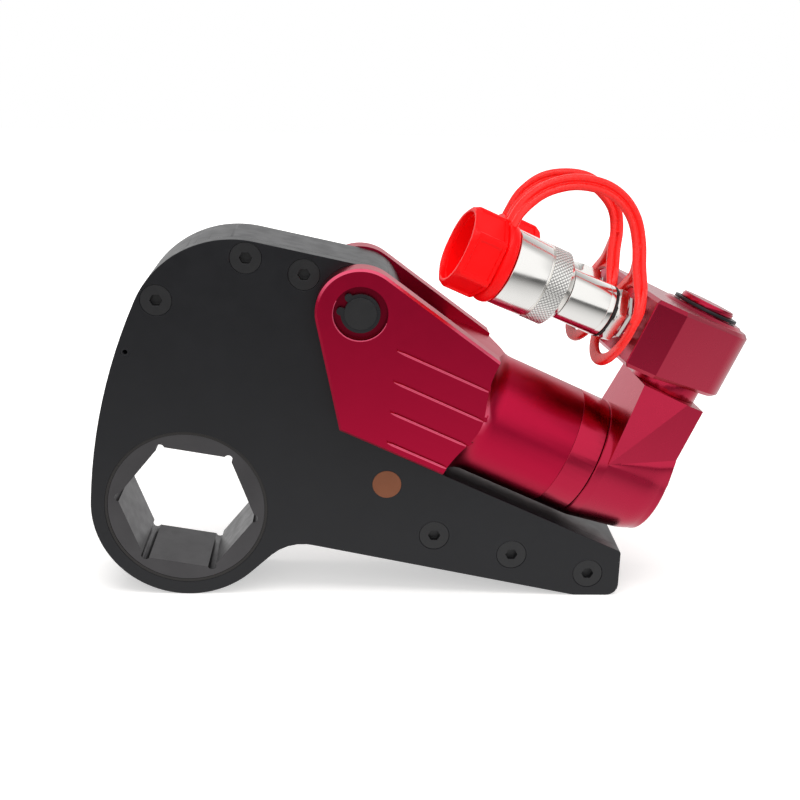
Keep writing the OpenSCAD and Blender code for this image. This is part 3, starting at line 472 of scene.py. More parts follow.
BLACK_OXIDE = Finish("black_oxide", (0.0058, 0.006, 0.0078), 0.0, 0.35, Grain.BLASTED, bump=0.12,
                     mottle=0.15, rough_spread=0.04, specular=0.42)
BLACK_SCREW = Finish("black_screw", (0.010, 0.010, 0.011), 0.0, 0.42, Grain.TURNED, bump=0.08, specular=0.5)
RATCHET_STEEL = Finish("ratchet_steel", (0.085, 0.082, 0.085), 0.9, 0.34, Grain.TURNED, bump=0.25,
                       mottle=0.25, rough_spread=0.06)
BEARING = Finish("bearing_ring", (0.035, 0.033, 0.032), 0.6, 0.35, Grain.TURNED, bump=0.15)
BRONZE = Finish("bronze", (0.24, 0.085, 0.04), 0.5, 0.5, Grain.BLASTED, bump=0.2, mottle=0.25)
# Red faces of the clevis, with a painted highlight on the broken edges that face the light and painted shade
# in the counterbore round the link pin.
RED_FACE = Finish("red_face", (0.56, 0.006, 0.048), 1.0, 0.34, Grain.BLASTED, bump=0.06, mottle=0.03,
                  rough_spread=0.02, coat=0.12, coat_roughness=0.25, highlight_dir=(0.41, 0.0, 0.91),
                  recess=(65.28, 79.26, 10.0))
# Bright red of the cheeks' beads: a painted highlight.
RED_PAINTED_HIGHLIGHT = Finish("red_painted_highlight", PAINTED_HIGHLIGHT_RED, 1.0, 0.3, Grain.BLASTED, bump=0.02, mottle=0.03,
                  rough_spread=0.02)
RED_TURNED = Finish("red_turned", (0.56, 0.006, 0.05), 1.0, 0.25, Grain.TURNED, bump=0.12, mottle=0.02,
                    rough_spread=0.015, coat=0.4, coat_roughness=0.2)
RED_MILLED = Finish("red_milled", (0.54, 0.006, 0.05), 1.0, 0.28, Grain.MILLED, bump=0.02, mottle=0.02,
                    rough_spread=0.015, coat=0.45, coat_roughness=0.2)
CHROME = Finish("hard_chrome", (0.75, 0.76, 0.78), 1.0, 0.12, Grain.TURNED, bump=0.03, mottle=0.02)
STEEL = Finish("ground_steel", (0.35, 0.35, 0.37), 1.0, 0.32, Grain.MILLED, bump=0.1)
SPRING = Finish("spring_steel", (0.025, 0.025, 0.028), 0.6, 0.36, Grain.BLASTED, bump=0.1)
NICKEL = Finish("nickel", (0.96, 0.945, 0.915), 1.0, 0.15, Grain.TURNED, bump=0.04, mottle=0.02,
                rough_spread=0.02)
NICKEL_HEX = Finish("nickel_hex", (0.88, 0.86, 0.83), 1.0, 0.2, Grain.MILLED, bump=0.05, mottle=0.03,
                    rough_spread=0.03)
# The knurl's cuts are darkened with painted shade.
NICKEL_KNURL = Finish("nickel_knurl", (0.97, 0.955, 0.925), 1.0, 0.16, Grain.TURNED, bump=0.04, mottle=0.02,
                      rough_spread=0.03, shade="cut")
RUBBER = Finish("seal_rubber", (0.010, 0.010, 0.011), 0.0, 0.5, Grain.MOULDED, bump=0.1)
RED_CUP = Finish("red_cup", (0.95, 0.002, 0.003), 0.0, 0.34, Grain.MOULDED, bump=0.04, mottle=0.03,
                 rough_spread=0.03, specular=0.16, grain_scale=0.3)
RED_STRAP = Finish("red_strap", (0.93, 0.012, 0.009), 0.0, 0.27, Grain.MOULDED, bump=0.04, mottle=0.03,
                   rough_spread=0.03, specular=0.5, grain_scale=0.3)


# ---- pieces


def finished_mesh(name: str, shells: list[Shell], crease: float) -> bpy.types.Object:
    """One closed mesh from shells, with doubles merged and faces turned outwards.

    Args:
        name: the piece's name.
        shells: the surfaces to join.
        crease: angle in degrees above which an edge shades sharp.

    Returns:
        The object, at the origin.
    """
    start = np.cumsum([0] + [len(s.points) for s in shells])
    points = np.concatenate([s.points for s in shells])
    quads = np.concatenate([s.quads + k for s, k in zip(shells, start)])
    mesh = bpy.data.meshes.new(name)
    mesh.vertices.add(len(points))
    mesh.vertices.foreach_set("co", points.astype(np.float32).ravel())
    mesh.loops.add(quads.size)
    mesh.loops.foreach_set("vertex_index", quads.astype(np.int32).ravel())
    mesh.polygons.add(len(quads))
    mesh.polygons.foreach_set("loop_start", np.arange(0, quads.size, 4, dtype=np.int32))
    mesh.update(calc_edges=True)
    soup = bmesh.new()
    soup.from_mesh(mesh)
    bmesh.ops.remove_doubles(soup, verts=soup.verts, dist=2e-6)
    bmesh.ops.dissolve_degenerate(soup, edges=soup.edges, dist=1e-6)
    bmesh.ops.recalc_face_normals(soup, faces=soup.faces)
    soup.to_mesh(mesh)
    soup.free()
    mesh.validate()
    mesh.polygons.foreach_set("use_smooth", np.ones(len(mesh.polygons), bool))
    mesh.set_sharp_from_angle(angle=math.radians(crease))
    obj = bpy.data.objects.new(name, mesh)
    bpy.context.scene.collection.objects.link(obj)
    return obj


@dataclass
class Assembly:
    """A sub-assembly that rides on one body and says which finish each CAD node gets."""

    body: str

    def piece(self, name: str, shells: list[Shell], finish: Finish, slot: str, place: Place = ROW,
              replaces: tuple[str, ...] = (), crease: float = 30.0, body: str = "",
              bends: tuple[float, float] = ()) -> bpy.types.Object:
        """Makes a new piece, dresses it and ties it to its body.

        Args:
            name: the piece's name.
            shells: its surfaces.
            finish: its finish.
            slot: the record's material slot; not used.
            place: the frame that sets the direction of the grain.
            replaces: the CAD nodes that it stands for.
            crease: angle in degrees above which an edge shades sharp.
            body: another body than the sub-assembly's own; a piece given bends is not tied to it.
            bends: when given, the piece is left untied with its transform baked; the heights are not used.

        Returns:
            The piece.
        """
        obj = finished_mesh(name, shells, crease)
        obj.data.materials.append(finish.material(place))
        if bends:
            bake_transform(obj)
        else:
            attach(obj, body or self.body)
        if replaces:
            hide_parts(*replaces)
        LOG.info("%s: %d faces on %s", name, len(obj.data.polygons), body or self.body)
        return obj

    def dress(self, node: str, finish: Finish, place: Place = ROW, edge: float = 0.0,
              angle: float = 38.0) -> bpy.types.Object:
        """Gives a CAD node its finish, and breaks its sharp edges with live modifiers.

        Args:
            node: the node's name.
            finish: its finish.
            place: the frame that sets the direction of the grain.
            edge: width of the broken edge in millimetres, 0 for none.
            angle: edges that turn by more than this many degrees are broken.

        Returns:
            The node's object.
        """
        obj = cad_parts[node]
        obj.data.materials.clear()
        obj.data.materials.append(finish.material(place))
        if edge:
            weld = obj.modifiers.new("weld", "WELD")
            weld.merge_threshold = 2e-6
            plain = obj.modifiers.new("plain", "DECIMATE")
            plain.decimate_type = "DISSOLVE"
            plain.angle_limit = math.radians(0.4)
            bevel = obj.modifiers.new("edge", "BEVEL")
            bevel.width = edge * MM
            bevel.segments = 3
            bevel.limit_method = "ANGLE"
            bevel.angle_limit = math.radians(angle)
            bevel.use_clamp_overlap = True
            bevel.harden_normals = True
        LOG.info("%s dressed in %s", node, finish.name)
        return obj


@dataclass
class Cassette(Assembly):
    """Casing, cover plate, their screws and pins, and the ratchet behind its bearing ring."""

    edge: float = 0.55

    def build(self) -> None:
        """Dresses the CAD nodes of the cassette."""
        self.dress("main_casing", BLACK_OXIDE, edge=self.edge)
        self.dress("cover_plate", BLACK_OXIDE, edge=self.edge)
        self.dress("locating_dowel", BRONZE, edge=0.15)
        self.dress("roll_pin", SPRING, edge=0.1)
        self.dress("hub_bush_front", BEARING, edge=0.15)
        self.dress("hub_bush_back", BEARING, edge=0.15)
        wheel = self.dress("ratchet_wheel", RATCHET_STEEL, ROW.turned(0, 90), edge=0.5)
        wheel.modifiers["edge"].segments = 2
        self.dress("cover_screws", BLACK_SCREW, ROW.turned(0, 90), edge=0.2)
        for node in ("drive_plate_front", "drive_plate_back", "arm_spacer", "drive_segment", "crank_pin"):
            self.dress(node, STEEL)
        self.dress("segment_spring", SPRING)


@dataclass
class PowerHead(Assembly):
    """Clevis and barrel, end cap, link pin and its circlips, piston and rod."""

    half: float = 25.0
    pin_u: float = 27.1
    pin_w: float = 21.0
    bore: float = 9.8
    groove_starts: tuple[float, ...] = (45.0, 48.9, 52.8, 56.7)
    groove_ends: tuple[float, ...] = (81.7, 85.0, 83.6, 80.8)
    groove_top: float = 15.1
    groove_pitch: float = 11.1
    groove_half: float = 0.85
    lip: float = 0.42

    def lip_highlight_beads(self) -> list[Shell]:
        """Beads that carry a painted highlight on the cheeks: a low bead along the lower lip of each groove,
        and one round the lower part of each counterbore, 0.13 mm proud with an elliptic section."""
        t = np.radians(np.arange(0, 360, 30))
        oval = np.stack([self.lip * np.cos(t), 0.13 * np.sin(t)], axis=1)
        beads = []
        for y in (-self.half, self.half):
            for i, (near, far) in enumerate(zip(self.groove_starts, self.groove_ends)):
                level = self.groove_top - i * self.groove_pitch - self.groove_half - 0.15
                f = np.linspace(0, 1, 14)[:, None]
                line = np.array([near, y, level]) * (1 - f) + np.array([far, y, level]) * f
                fade = np.interp(f, [0, 0.03, 0.97, 1], [0.3, 1, 1, 0.5])[..., None]
                beads.append(swept(HEAD.out(line), np.repeat(HEAD.axes[2:], 14, 0), oval * fade))
            a = np.radians(np.linspace(175, 365, 72))
            out = np.stack([np.cos(a), 0 * a, np.sin(a)], axis=1)
            ring = np.array([self.pin_u, y, self.pin_w]) + out * (self.bore + 0.15)
            fade = np.sin(np.linspace(0.1, np.pi - 0.1, 72))[:, None, None] ** 0.5
            swell = oval * (0.2, 0.6) + oval * (0.35, 0.2) * fade
            beads.append(swept(HEAD.out(ring), out @ HEAD.axes, swell))
        return beads

    def build(self) -> None:
        """Dresses the CAD nodes of the power head."""
        self.dress("cylinder_body", RED_FACE, HEAD.turned(1, 90), edge=0.42)
        # Beads in a bright red: a painted highlight along the groove lips and round the counterbores.
        self.piece("cheek_lip_highlights", self.lip_highlight_beads(), RED_PAINTED_HIGHLIGHT, "red_anodised", HEAD.turned(1, 90))
        self.dress("end_cap", RED_TURNED, HEAD.turned(1, 90), edge=0.35)
        self.dress("link_pin", BLACK_SCREW, ROW.turned(0, 90), edge=0.3)
        self.dress("link_clip_front", SPRING, edge=0.15)
        self.dress("link_clip_back", SPRING, edge=0.15)
        self.dress("elbow_clip", SPRING, edge=0.15)
        self.dress("elbow_seals", RUBBER)
        self.dress("rod_seal", RUBBER)
        self.dress("piston", STEEL)
        self.dress("piston_seal", RUBBER)
        self.dress("piston_rod", CHROME)


@dataclass
class Swivel(Assembly):
    """Elbow that turns on the barrel's stub, with its post, and the manifold block above it."""

    face_u: float = 136.0
    ridge_u: float = 154.0
    back_u: float = 161.5
    tail_u: float = 163.3
    top: float = 38.0
    barrel: float = 23.7
    cone_u: float = 155.0
    cone: float = 20.8
    tail: float = 17.0
    bore: float = 13.15
    mouth: float = 15.5
    front_u: float = 132.25
    bore_u: float = 150.0
    mouth_u: float = 154.5
    apex_w: float = 5.8
    fan_rise: float = 0.43

    def side(self, u: np.ndarray) -> tuple[np.ndarray, ...]:
        """Breakpoints of the elbow's cross-section on one side, from the top's middle downwards.

        The first facet is the plane through the top edge, the ridge's end and the apex; the second is
        parallel to the post; below it the fan runs from the apex to the rear and eases into a round.

        Args:
            u: places along the barrel axis.

        Returns:
            (v, w) of the top corner, of the ridge and of the fan's upper line, and the fan's width.
        """
        t = np.clip((u - self.face_u) / (self.ridge_u - self.face_u), 0, 1)
        corner = np.stack([17.0 + 1.7 * t - 1.9 * np.clip((u - self.ridge_u) / 7.5, 0, 1),
                           self.top + 0 * u], axis=-1)
        second = 23.3 - (u - self.face_u) * 0.2556
        ridge_w = self.apex_w + (self.top - self.apex_w) * t
        ridge = np.stack([second, np.where(t < 1, ridge_w, self.top)], axis=-1)
        fan_w = self.apex_w + self.fan_rise * (u - self.face_u)
        fan = np.stack([second, fan_w], axis=-1)
        width = np.clip((u - self.face_u) / (self.back_u - self.face_u), 0, 1) * 30.0
        return corner, ridge, fan, width

    def round_radius(self, u: np.ndarray) -> np.ndarray:
        """Radius of the round lower body: a slim cone, then an ellipse's quarter towards the tail."""
        along = np.clip((u - self.face_u) / (self.cone_u - self.face_u), 0, 2)
        cone = self.barrel - (self.barrel - self.cone) * along
        s = np.clip((u - self.cone_u) / (self.tail_u - self.cone_u), 0, 1)
        return self.tail + (cone - self.tail) * np.sqrt(np.clip(1 - s**2, 0, 1))

    def section(self, u: np.ndarray) -> np.ndarray:
        """Closed cross-sections of the elbow behind its face, one row for each u.

        Args:
            u: places along the barrel axis.

        Returns:
            rows x columns x 2 of (v, w), from the top's middle down the far side and up the near one.
        """
        corner, ridge, fan, width = self.side(u)
        radius = self.round_radius(u)[:, None]

        def line(a: np.ndarray, b: np.ndarray, n: int) -> np.ndarray:
            """Points from a towards b, row by row, without b."""
            return a[:, None] + (b - a)[:, None] * np.linspace(0, 1, n, endpoint=False)[None, :, None]

        top = line(corner * np.array([0.0, 1.0]), corner, 6)
        first = line(corner, ridge, 8)
        second = line(ridge, fan, 8)
        start = np.arctan2(fan[:, 1], fan[:, 0])[:, None]
        r0 = np.linalg.norm(fan, axis=1)[:, None]
        s = np.linspace(0, 1, 18, endpoint=False)[None, :]
        angle = start - np.radians(width)[:, None] * s
        ease = s * s * (3 - 2 * s)
        r = r0 + (radius - r0) * ease
        blend = np.stack([r * np.cos(angle), r * np.sin(angle)], axis=-1)
        low = start - np.radians(width)[:, None]
        angle = low + (-np.pi / 2 - low) * np.linspace(0, 1, 30)[None, :]
        bottom = np.stack([radius * np.cos(angle), radius * np.sin(angle)], axis=-1)
        half = np.concatenate([top, first, second, blend, bottom], axis=1)
        near = half[:, ::-1] * np.array([-1.0, 1.0])
        return np.concatenate([half, near[:, 1:-1]], axis=1)

    def elbow_shell(self) -> Shell:
        """The elbow's skin: bore, ring face, round, face, facets, tail and mouth as one grid."""
        front = self.front_u
        u = np.concatenate([[self.face_u], np.linspace(self.face_u + 0.4, self.ridge_u, 16),
                            np.linspace(self.ridge_u + 1, self.back_u - 0.5, 8)])
        body = self.section(u)
        n = body.shape[1]
        flat = body[0] / np.linalg.norm(body[0], axis=1, keepdims=True)

        def ring(r: float, at: float) -> np.ndarray:
            """One round row."""
            return np.concatenate([np.full((n, 1), at), flat * r], axis=1)

        rows = [ring(self.bore, self.bore_u), ring(self.bore, front + 0.3), ring(self.bore + 0.3, front),
                ring(self.barrel - 0.4, front), ring(self.barrel, front + 0.4),
                ring(self.barrel, self.face_u)]
        rows += [np.concatenate([np.full((n, 1), a), b], axis=1) for a, b in zip(u, body)]
        last = self.section(np.array([self.back_u]))[0]
        w = last[:, 1]
        bulge = (self.tail_u - self.back_u) * np.clip((15.0 - w) / 8.0, 0, 1)
        for grow, push in ((1.0, 0.35), (0.985, 0.75), (0.96, 0.95), (0.93, 1.0)):
            rows.append(np.concatenate([(self.back_u + bulge * push)[:, None], last * grow], axis=1))
        edge = self.back_u + bulge
        rows.append(np.concatenate([edge[:, None], flat * (self.mouth + 0.4)], axis=1))
        rows.append(np.concatenate([edge[:, None] - 0.4, flat * self.mouth], axis=1))
        rows.append(ring(self.mouth, self.mouth_u))
        rows.append(ring(self.bore, self.mouth_u))
        return Shell.grid(ELBOW.out(np.array(rows)), wrap_rows=True)

    def build(self) -> None:
        """Makes the elbow's skin and dresses the post, its clip and its seals."""
        self.piece("elbow_skin", [self.elbow_shell()], RED_MILLED, "red_anodised", ELBOW.turned(2, 90),
                   replaces=("elbow",), crease=17.0)
        self.dress("swivel_post", RED_TURNED, ELBOW, edge=0.25)
        self.dress("post_clip", SPRING, edge=0.2)
        self.dress("post_seals", RUBBER)

    def build_manifold(self) -> None:
        """Dresses the manifold block."""
        self.dress("manifold_block", RED_MILLED, BLOCK.turned(2, 90), edge=0.7, angle=50.0)


@dataclass
class Couplers(Assembly):
    """Both quick couplers with their dust covers and moulded straps."""

    sleeve_r: float = 13.9
    knurl_from: float = 32.6
    knurl_to: float = 39.8
    flat_r: float = 13.5
    loop_r: float = 14.3
    loop_drop: float = 2.2
    diamonds: int = 58
    knurl_rows: int = 5
    groove_depth: float = 0.2

    def knurled_sleeve(self) -> Shell:
        """Locking sleeve: a turned outline whose knurled band is cut by two crossing helices.

        With p and q = n t / 2 pi +- rows, the band's radius drops by the groove's depth where p or q is
        near a whole number, and rises along both flanks to flat-topped diamonds.

        Returns:
            The sleeve's surface.
        """
        place = port(-1)
        sides = self.diamonds * 10
        t = np.linspace(0, 2 * np.pi, sides, endpoint=False)
        z = np.linspace(self.knurl_from, self.knurl_to, 10 * self.knurl_rows + 1)
        band = np.stack([self.sleeve_r - self.groove_depth * self.cut(t[None, :], z[:, None]),
                         z[:, None] + 0 * t], axis=-1)
        before = rounded([(8.85, 29.5, 0.2), (10.2, 29.5, 0.4), (13.5, 32.3, 0.3), (13.9, 32.58, 0)], 3)[:-1]
        after = rounded([(13.9, 39.82, 0), (13.25, 39.95, 0.1), (13.25, 40.5, 0.1), (13.9, 40.6, 0.25),
                         (13.9, 53.45, 0.35), (9.4, 53.6, 0.3), (9.4, 44.0, 0.3), (8.85, 42.0, 0)], 3)
        rows = [np.broadcast_to(r[None, :], (sides, 2)) for r in before]
        rows += [b for b in band]
        rows += [np.broadcast_to(r[None, :], (sides, 2)) for r in after]
        rz = np.array(rows)
        # one shallow ring turned into the plain part
        ring = 0.09 * np.exp(-(((rz[..., 1] - 47.6) / 0.12) ** 2))
        r = rz[..., 0] - np.where(rz[..., 0] > 12, ring, 0)
        grid = np.stack([r * np.cos(t), r * np.sin(t), rz[..., 1]], axis=-1)
        return Shell.grid(place.out(grid), wrap_rows=True)

    def cut(self, t: np.ndarray, z: np.ndarray) -> np.ndarray:
        """Depth share of the knurl's grooves: 1 on a groove's line, 0 on a diamond's flat top.

        Args:
            t: angles round the port's axis.
            z: heights along it.

        Returns:
            The share, faded out over the last 0.3 mm at both ends of the band.
        """
        turns = self.diamonds * t / (2 * np.pi)
        rows = self.knurl_rows * (z - self.knurl_from) / (self.knurl_to - self.knurl_from)
        p, q = turns + rows, turns - rows
        near = np.minimum(np.abs(p - np.round(p)), np.abs(q - np.round(q)))
        edge = np.clip(np.minimum(z - self.knurl_from, self.knurl_to - z) / 0.15, 0, 1)
        return (1 - np.clip(near / 0.15, 0, 1)) * edge

    def coupler_body(self) -> list[Shell]:
        """Front coupler's body with its groove and the core that guides the sleeve."""
        place = port(-1)
        return [turned(place, rounded([
            (2.8, 10.7, 0), (8.7, 10.7, 0), (8.7, 11.45, 0), (9.3, 11.45, 0.15), (9.7, 11.8, 0.25),
            (9.7, 13.6, 0.05), (9.62, 13.68, 0), (9.62, 13.82, 0), (9.7, 13.9, 0.05), (9.7, 29.0, 0.35),
            (8.6, 29.0, 0), (8.6, 46.2, 0.4), (6.3, 46.2, 0.3), (6.3, 20.4, 0), (2.8, 20.4, 0)], 3), 96)]

    def nut(self, side: int, af: float, z0: float, z1: float, bore: float, turn: float) -> Shell:
        """A hexagon with both ends chamfered at 30 degrees."""
        corner = af / 2 / math.cos(math.pi / 6)
        ch = (corner - af / 2) * 0.62
        outline = rounded([(bore, z0, 0), (af / 2 - 0.25, z0, 0.15), (corner, z0 + ch, 0.1),
                           (corner, z1 - ch, 0.1), (af / 2 - 0.25, z1, 0.15), (bore, z1, 0)], 3)
        return hexed(port(side), outline, af, turn)

    def neck(self, side: int) -> Shell:
        """Threaded neck between port and nut: a round with shallow ridges along its length."""
        z = np.linspace(-2.0, 3.4, 28)
        r = 5.5 + 0.18 * np.abs(((z / 1.3) % 1.0) * 2 - 1)
        outline = np.concatenate([[[2.8, -2.0]], np.stack([r, z], axis=1), [[2.8, 3.4]]])
        return turned(port(side), outline, 64)

    def cover_grip(self, place: Place, rim: float, groove: float, floor: float, far: float,
                   nose: float = 0.0) -> list[Shell]:
        """Moulded dust cover: a cup with six finger flats, a groove and a bulging flange.

        A row of limit c has the radius (h^-p + c^-p)^(-1/p), which is the smaller of c and the hexagon's
        h = flat / cos(t mod 60 - 30), eased where they meet.

        Args:
            place: the port's frame.
            rim: height of the open rim.
            groove: height of the groove between cup and flange.
            floor: height of the cup's floor.
            far: height of the flange's far face.
            nose: end of the nose that fills the coupler's mouth, 0 for none.

        Returns:
            The cover's surface.
        """
        sides, power = 480, 90
        t = np.linspace(0, 2 * np.pi, sides, endpoint=False)
        flats = self.flat_r / np.cos(t % (np.pi / 3) - np.pi / 6)
        panel = np.clip((25.0 - np.abs(np.degrees(t) % 60 - 30)) / 1.5, 0, 1)
        sign = 1.0 if rim > groove else -1.0

        def ring(r: float, z: float) -> np.ndarray:
            """One round row."""
            return np.stack([np.full(sides, r), np.full(sides, z)], axis=-1)

        def six(limit: float, z: float, deep: float = 0.0) -> np.ndarray:
            """One row that follows the flats inside a round limit, with a panel sunk into each flat."""
            r = (flats ** -power + limit ** -power) ** (-1 / power)
            return np.stack([r - deep * panel, np.full(sides, z)], axis=-1)

        inner, corner, swell, sunk = self.flat_r - 1.35, 15.35, self.flat_r + 1.4, 0.45
        rows = [ring(inner - 1.0, floor), ring(inner - 0.3, floor + sign * 0.25),
                ring(inner, floor + sign * 0.9), ring(inner, rim - sign * 2.2),
                ring(inner + 0.35, rim - sign * 2.0), ring(inner + 0.4, rim - sign * 0.35),
                ring(inner + 0.55, rim - sign * 0.08), ring(inner + 0.75, rim), six(self.flat_r + 0.35, rim),
                six(self.flat_r + 0.75, rim - sign * 0.12), six(corner - 0.5, rim - sign * 1.1),
                six(corner - 0.1, rim - sign * 1.7)]
        rows += [six(corner, rim - sign * 2.3), six(corner, rim - sign * 2.5, sunk)]
        rows += [six(corner, z, sunk) for z in np.linspace(rim - sign * 3.2, groove + sign * 1.9, 6)]
        rows += [six(corner, groove + sign * 1.5, sunk), six(corner, groove + sign * 1.35),
                 six(corner, groove + sign * 0.9)]
        rows += [six(corner - 0.15, groove + sign * 0.35), six(corner - 0.6, groove + sign * 0.15),
                 ring(self.flat_r - 0.4, groove + sign * 0.05),
                 ring(self.flat_r - 0.45, groove - sign * 0.25),
                 ring(self.flat_r + 0.5, groove - sign * 0.4), ring(self.flat_r + 0.85, groove - sign * 0.6)]
        middle = (groove + far) / 2
        rows += [ring(swell - 0.18, (groove + middle) / 2), ring(swell, middle),
                 ring(swell - 0.12, (far + middle) / 2),
                 ring(self.flat_r + 0.95, far + sign * 0.35), ring(self.flat_r + 0.55, far)]
        if nose:
            rows += [ring(9.15, far), ring(8.75, far - sign * 0.4), ring(8.75, nose + sign * 0.4),
                     ring(8.4, nose), ring(7.6, nose), ring(7.25, nose + sign * 0.4), ring(7.25, far)]
        rows += [ring(0.0, far), ring(0.0, floor)]
        rz = np.array(rows)
        grid = np.stack([rz[..., 0] * np.cos(t), rz[..., 0] * np.sin(t), rz[..., 1]], axis=-1)
        return [Shell.grid(place.out(grid), wrap_rows=True)]

    def strap(self, place: Place, route: list[tuple[float, float, float]], twist: float,
              ring_z: float) -> list[Shell]:
        """Moulded strap: a twisted flat band of two round beads, running into a round loop.

        Across the band, s = -1..1, both faces lie (1 - s^8)^0.5 times the larger of 0.25 and
        1.35 * (1 - ((|s| - 0.55) / 0.47)^2)^0.5 from its middle. It joins the loop's near side as a
        tangent, and a short limb from it joins the far side. The loop's far end drops by loop_drop.

        Args:
            place: the port's frame.
            route: points of the band's middle line, from its foot to the loop.
            twist: the band's turn about its own line in its free part, in degrees.
            ring_z: height of the loop above the port's face.

        Returns:
            Band, loop and limb.
        """
        fork = route[-2]
        count = 120
        r, z = self.loop_r, ring_z
        joined = [(0.80 * r, -0.60 * r, z + 0.5), (0.45 * r, -0.89 * r, z), (0.1 * r, -0.99 * r, z)]
        path = smooth_path(route + joined, count)
        f = np.linspace(0, 1, count)
        half = np.interp(f, [0, 0.05, 0.14, 0.72, 0.85, 0.94, 1], [4.2, 3.5, 2.9, 2.9, 2.9, 2.3, 1.7])
        s = np.linspace(-1, 1, 41)
        wall = (1 - s**8) ** 0.5
        outer = wall * np.maximum(0.25, 1.35 * np.sqrt(np.clip(1 - ((np.abs(s) - 0.55) / 0.47) ** 2, 0, 1)))
        unit = np.concatenate([np.stack([s, outer], 1), np.stack([s[::-1], -outer], 1)[1:-1]])
        section = unit[None] * np.stack([half, np.ones(count)], axis=1)[:, None, :]
        along = np.gradient(path, axis=0)
        along /= np.linalg.norm(along, axis=1, keepdims=True)
        flat = np.array([0.0, 1.0, 0.0]) - along[:, 1:2] * along
        flat /= np.linalg.norm(flat, axis=1, keepdims=True)
        turn = np.radians(twist * np.interp(f, [0, 0.04, 0.25, 1], [0.1, 0.15, 1, 1]))[:, None]
        across = flat * np.cos(turn) + np.cross(along, flat) * np.sin(turn)
        band = swept(place.out(path), across @ place.axes, section)
        t = np.linspace(-np.pi, np.pi, 144, endpoint=False)
        drop = 0.5 * self.loop_drop * (1 - np.cos(t))
        loop = place.out(np.stack([r * np.cos(t) - drop, r * np.sin(t), z + 0.1 * drop], axis=1))
        bar = rounded([(-2.25, -1.05, 0.8), (2.25, -1.05, 0.8), (2.25, 1.05, 0.8), (-2.25, 1.05, 0.8)], 3)
        limb = smooth_path([fork, (1.12 * r, 0.28 * r, z + 1.6), (0.80 * r, 0.60 * r, z + 0.4),
                            (0.45 * r, 0.89 * r, z)], 30)
        ahead = np.gradient(limb, axis=0)
        lay = np.cross(ahead, np.array([0.0, 0.0, 1.0]))
        return [band, swept(loop, loop - place.out(np.array([0.0, 0.0, z])), bar, closed=True),
                swept(place.out(limb), lay @ place.axes, bar)]

    def build(self) -> None:
        """Makes both couplers, their covers and straps."""
        front, rear = port(-1), port(1)
        self.piece("front_coupler_body", self.coupler_body(), NICKEL, "nickel", front, ("front_body",))
        self.piece("front_coupler_nut", [self.nut(-1, 18.6, 5.85, 10.6, 2.8, 12.0)], NICKEL_HEX,
                   "nickel", front)
        self.piece("front_neck", [self.nut(-1, 15.0, 3.2, 5.8, 2.8, 20.0), self.neck(-1)], NICKEL_HEX,
                   "nickel", front, ("front_nipple",))
        self.dress("front_seal_ring", RUBBER)
        self.dress("front_poppet", NICKEL, front)
        self.dress("rear_poppet", NICKEL, rear)
        sleeve = self.piece("front_lock_sleeve", [self.knurled_sleeve()], NICKEL_KNURL, "nickel", front,
                            ("front_sleeve",), body="lock_sleeve", crease=50.0)
        # The cut attribute tells the finish where to paint shade in the knurl's cuts.
        co = np.empty(3 * len(sleeve.data.vertices))
        sleeve.data.vertices.foreach_get("co", co)
        local = (co.reshape(-1, 3) / MM - front.origin) @ front.axes.T
        inside = (local[:, 2] > self.knurl_from) & (local[:, 2] < self.knurl_to)
        share = self.cut(np.arctan2(local[:, 1], local[:, 0]), local[:, 2]) * inside
        sleeve.data.attributes.new("cut", "FLOAT", "POINT").data.foreach_set("value", share)
        self.piece("rear_coupler_body", [self.nut(1, 19.6, 5.85, 15.4, 2.8, 8.0), turned(rear, rounded([
            (2.8, 14.4, 0), (9.2, 14.4, 0), (9.2, 23.6, 0.3), (8.3, 24.2, 0.3), (8.3, 38.0, 0.2),
            (7.3, 38.4, 0.2), (7.3, 40.6, 0.2), (8.3, 41.0, 0.2), (8.3, 46.5, 0.8), (6.3, 47.0, 0.3),
            (6.3, 29.4, 0), (2.8, 29.4, 0)], 3), 72)], NICKEL, "nickel", rear, ("rear_body",))
        self.piece("rear_neck", [self.nut(1, 15.0, 3.2, 5.8, 2.8, 20.0), self.neck(1)], NICKEL_HEX, "nickel",
                   rear, ("rear_nipple",))
        self.piece("dust_plug_grip", self.cover_grip(front, 71.6, 58.6, 59.4, 54.0, 47.5),
                   RED_CUP, "red_plastic", front, ("dust_plug",), body="plug", crease=35.0)
        self.piece("dust_cap_grip", self.cover_grip(rear, 35.5, 46.9, 47.6, 50.9),
                   RED_CUP, "red_plastic", rear, ("dust_cap",), body="cap", crease=35.0)
        plug = self.strap(front, [
            (14.2, 0.0, 57.0), (19.0, 0.0, 56.6), (24.0, 0.0, 55.0), (31.0, 0.0, 50.6), (36.7, 0.0, 43.0),
            (39.5, 0.0, 32.0), (38.2, -0.2, 23.8), (34.0, -0.8, 17.0), (27.5, -2.0, 12.0), (19.5, -4.6, 8.4)],
            74.0, 4.4)
        cap = self.strap(rear, [
            (14.1, 0.0, 49.2), (19.5, 0.0, 48.9), (25.4, 0.0, 47.4), (31.9, 0.0, 43.2), (37.0, 0.0, 35.4),
            (39.2, 0.0, 26.8), (37.4, -0.2, 18.4), (33.6, -0.6, 12.2), (27.4, -1.6, 8.2), (19.5, -4.4, 6.2)],
            74.0, 3.6)
        self.piece("plug_strap_band", plug, RED_STRAP, "red_plastic", front, ("plug_strap",), body="plug",
                   bends=(12.0, 52.0))
        self.piece("cap_strap_band", cap, RED_STRAP, "red_plastic", rear, ("cap_strap",), body="cap",
                   bends=(10.0, 46.0))


# ---- studio


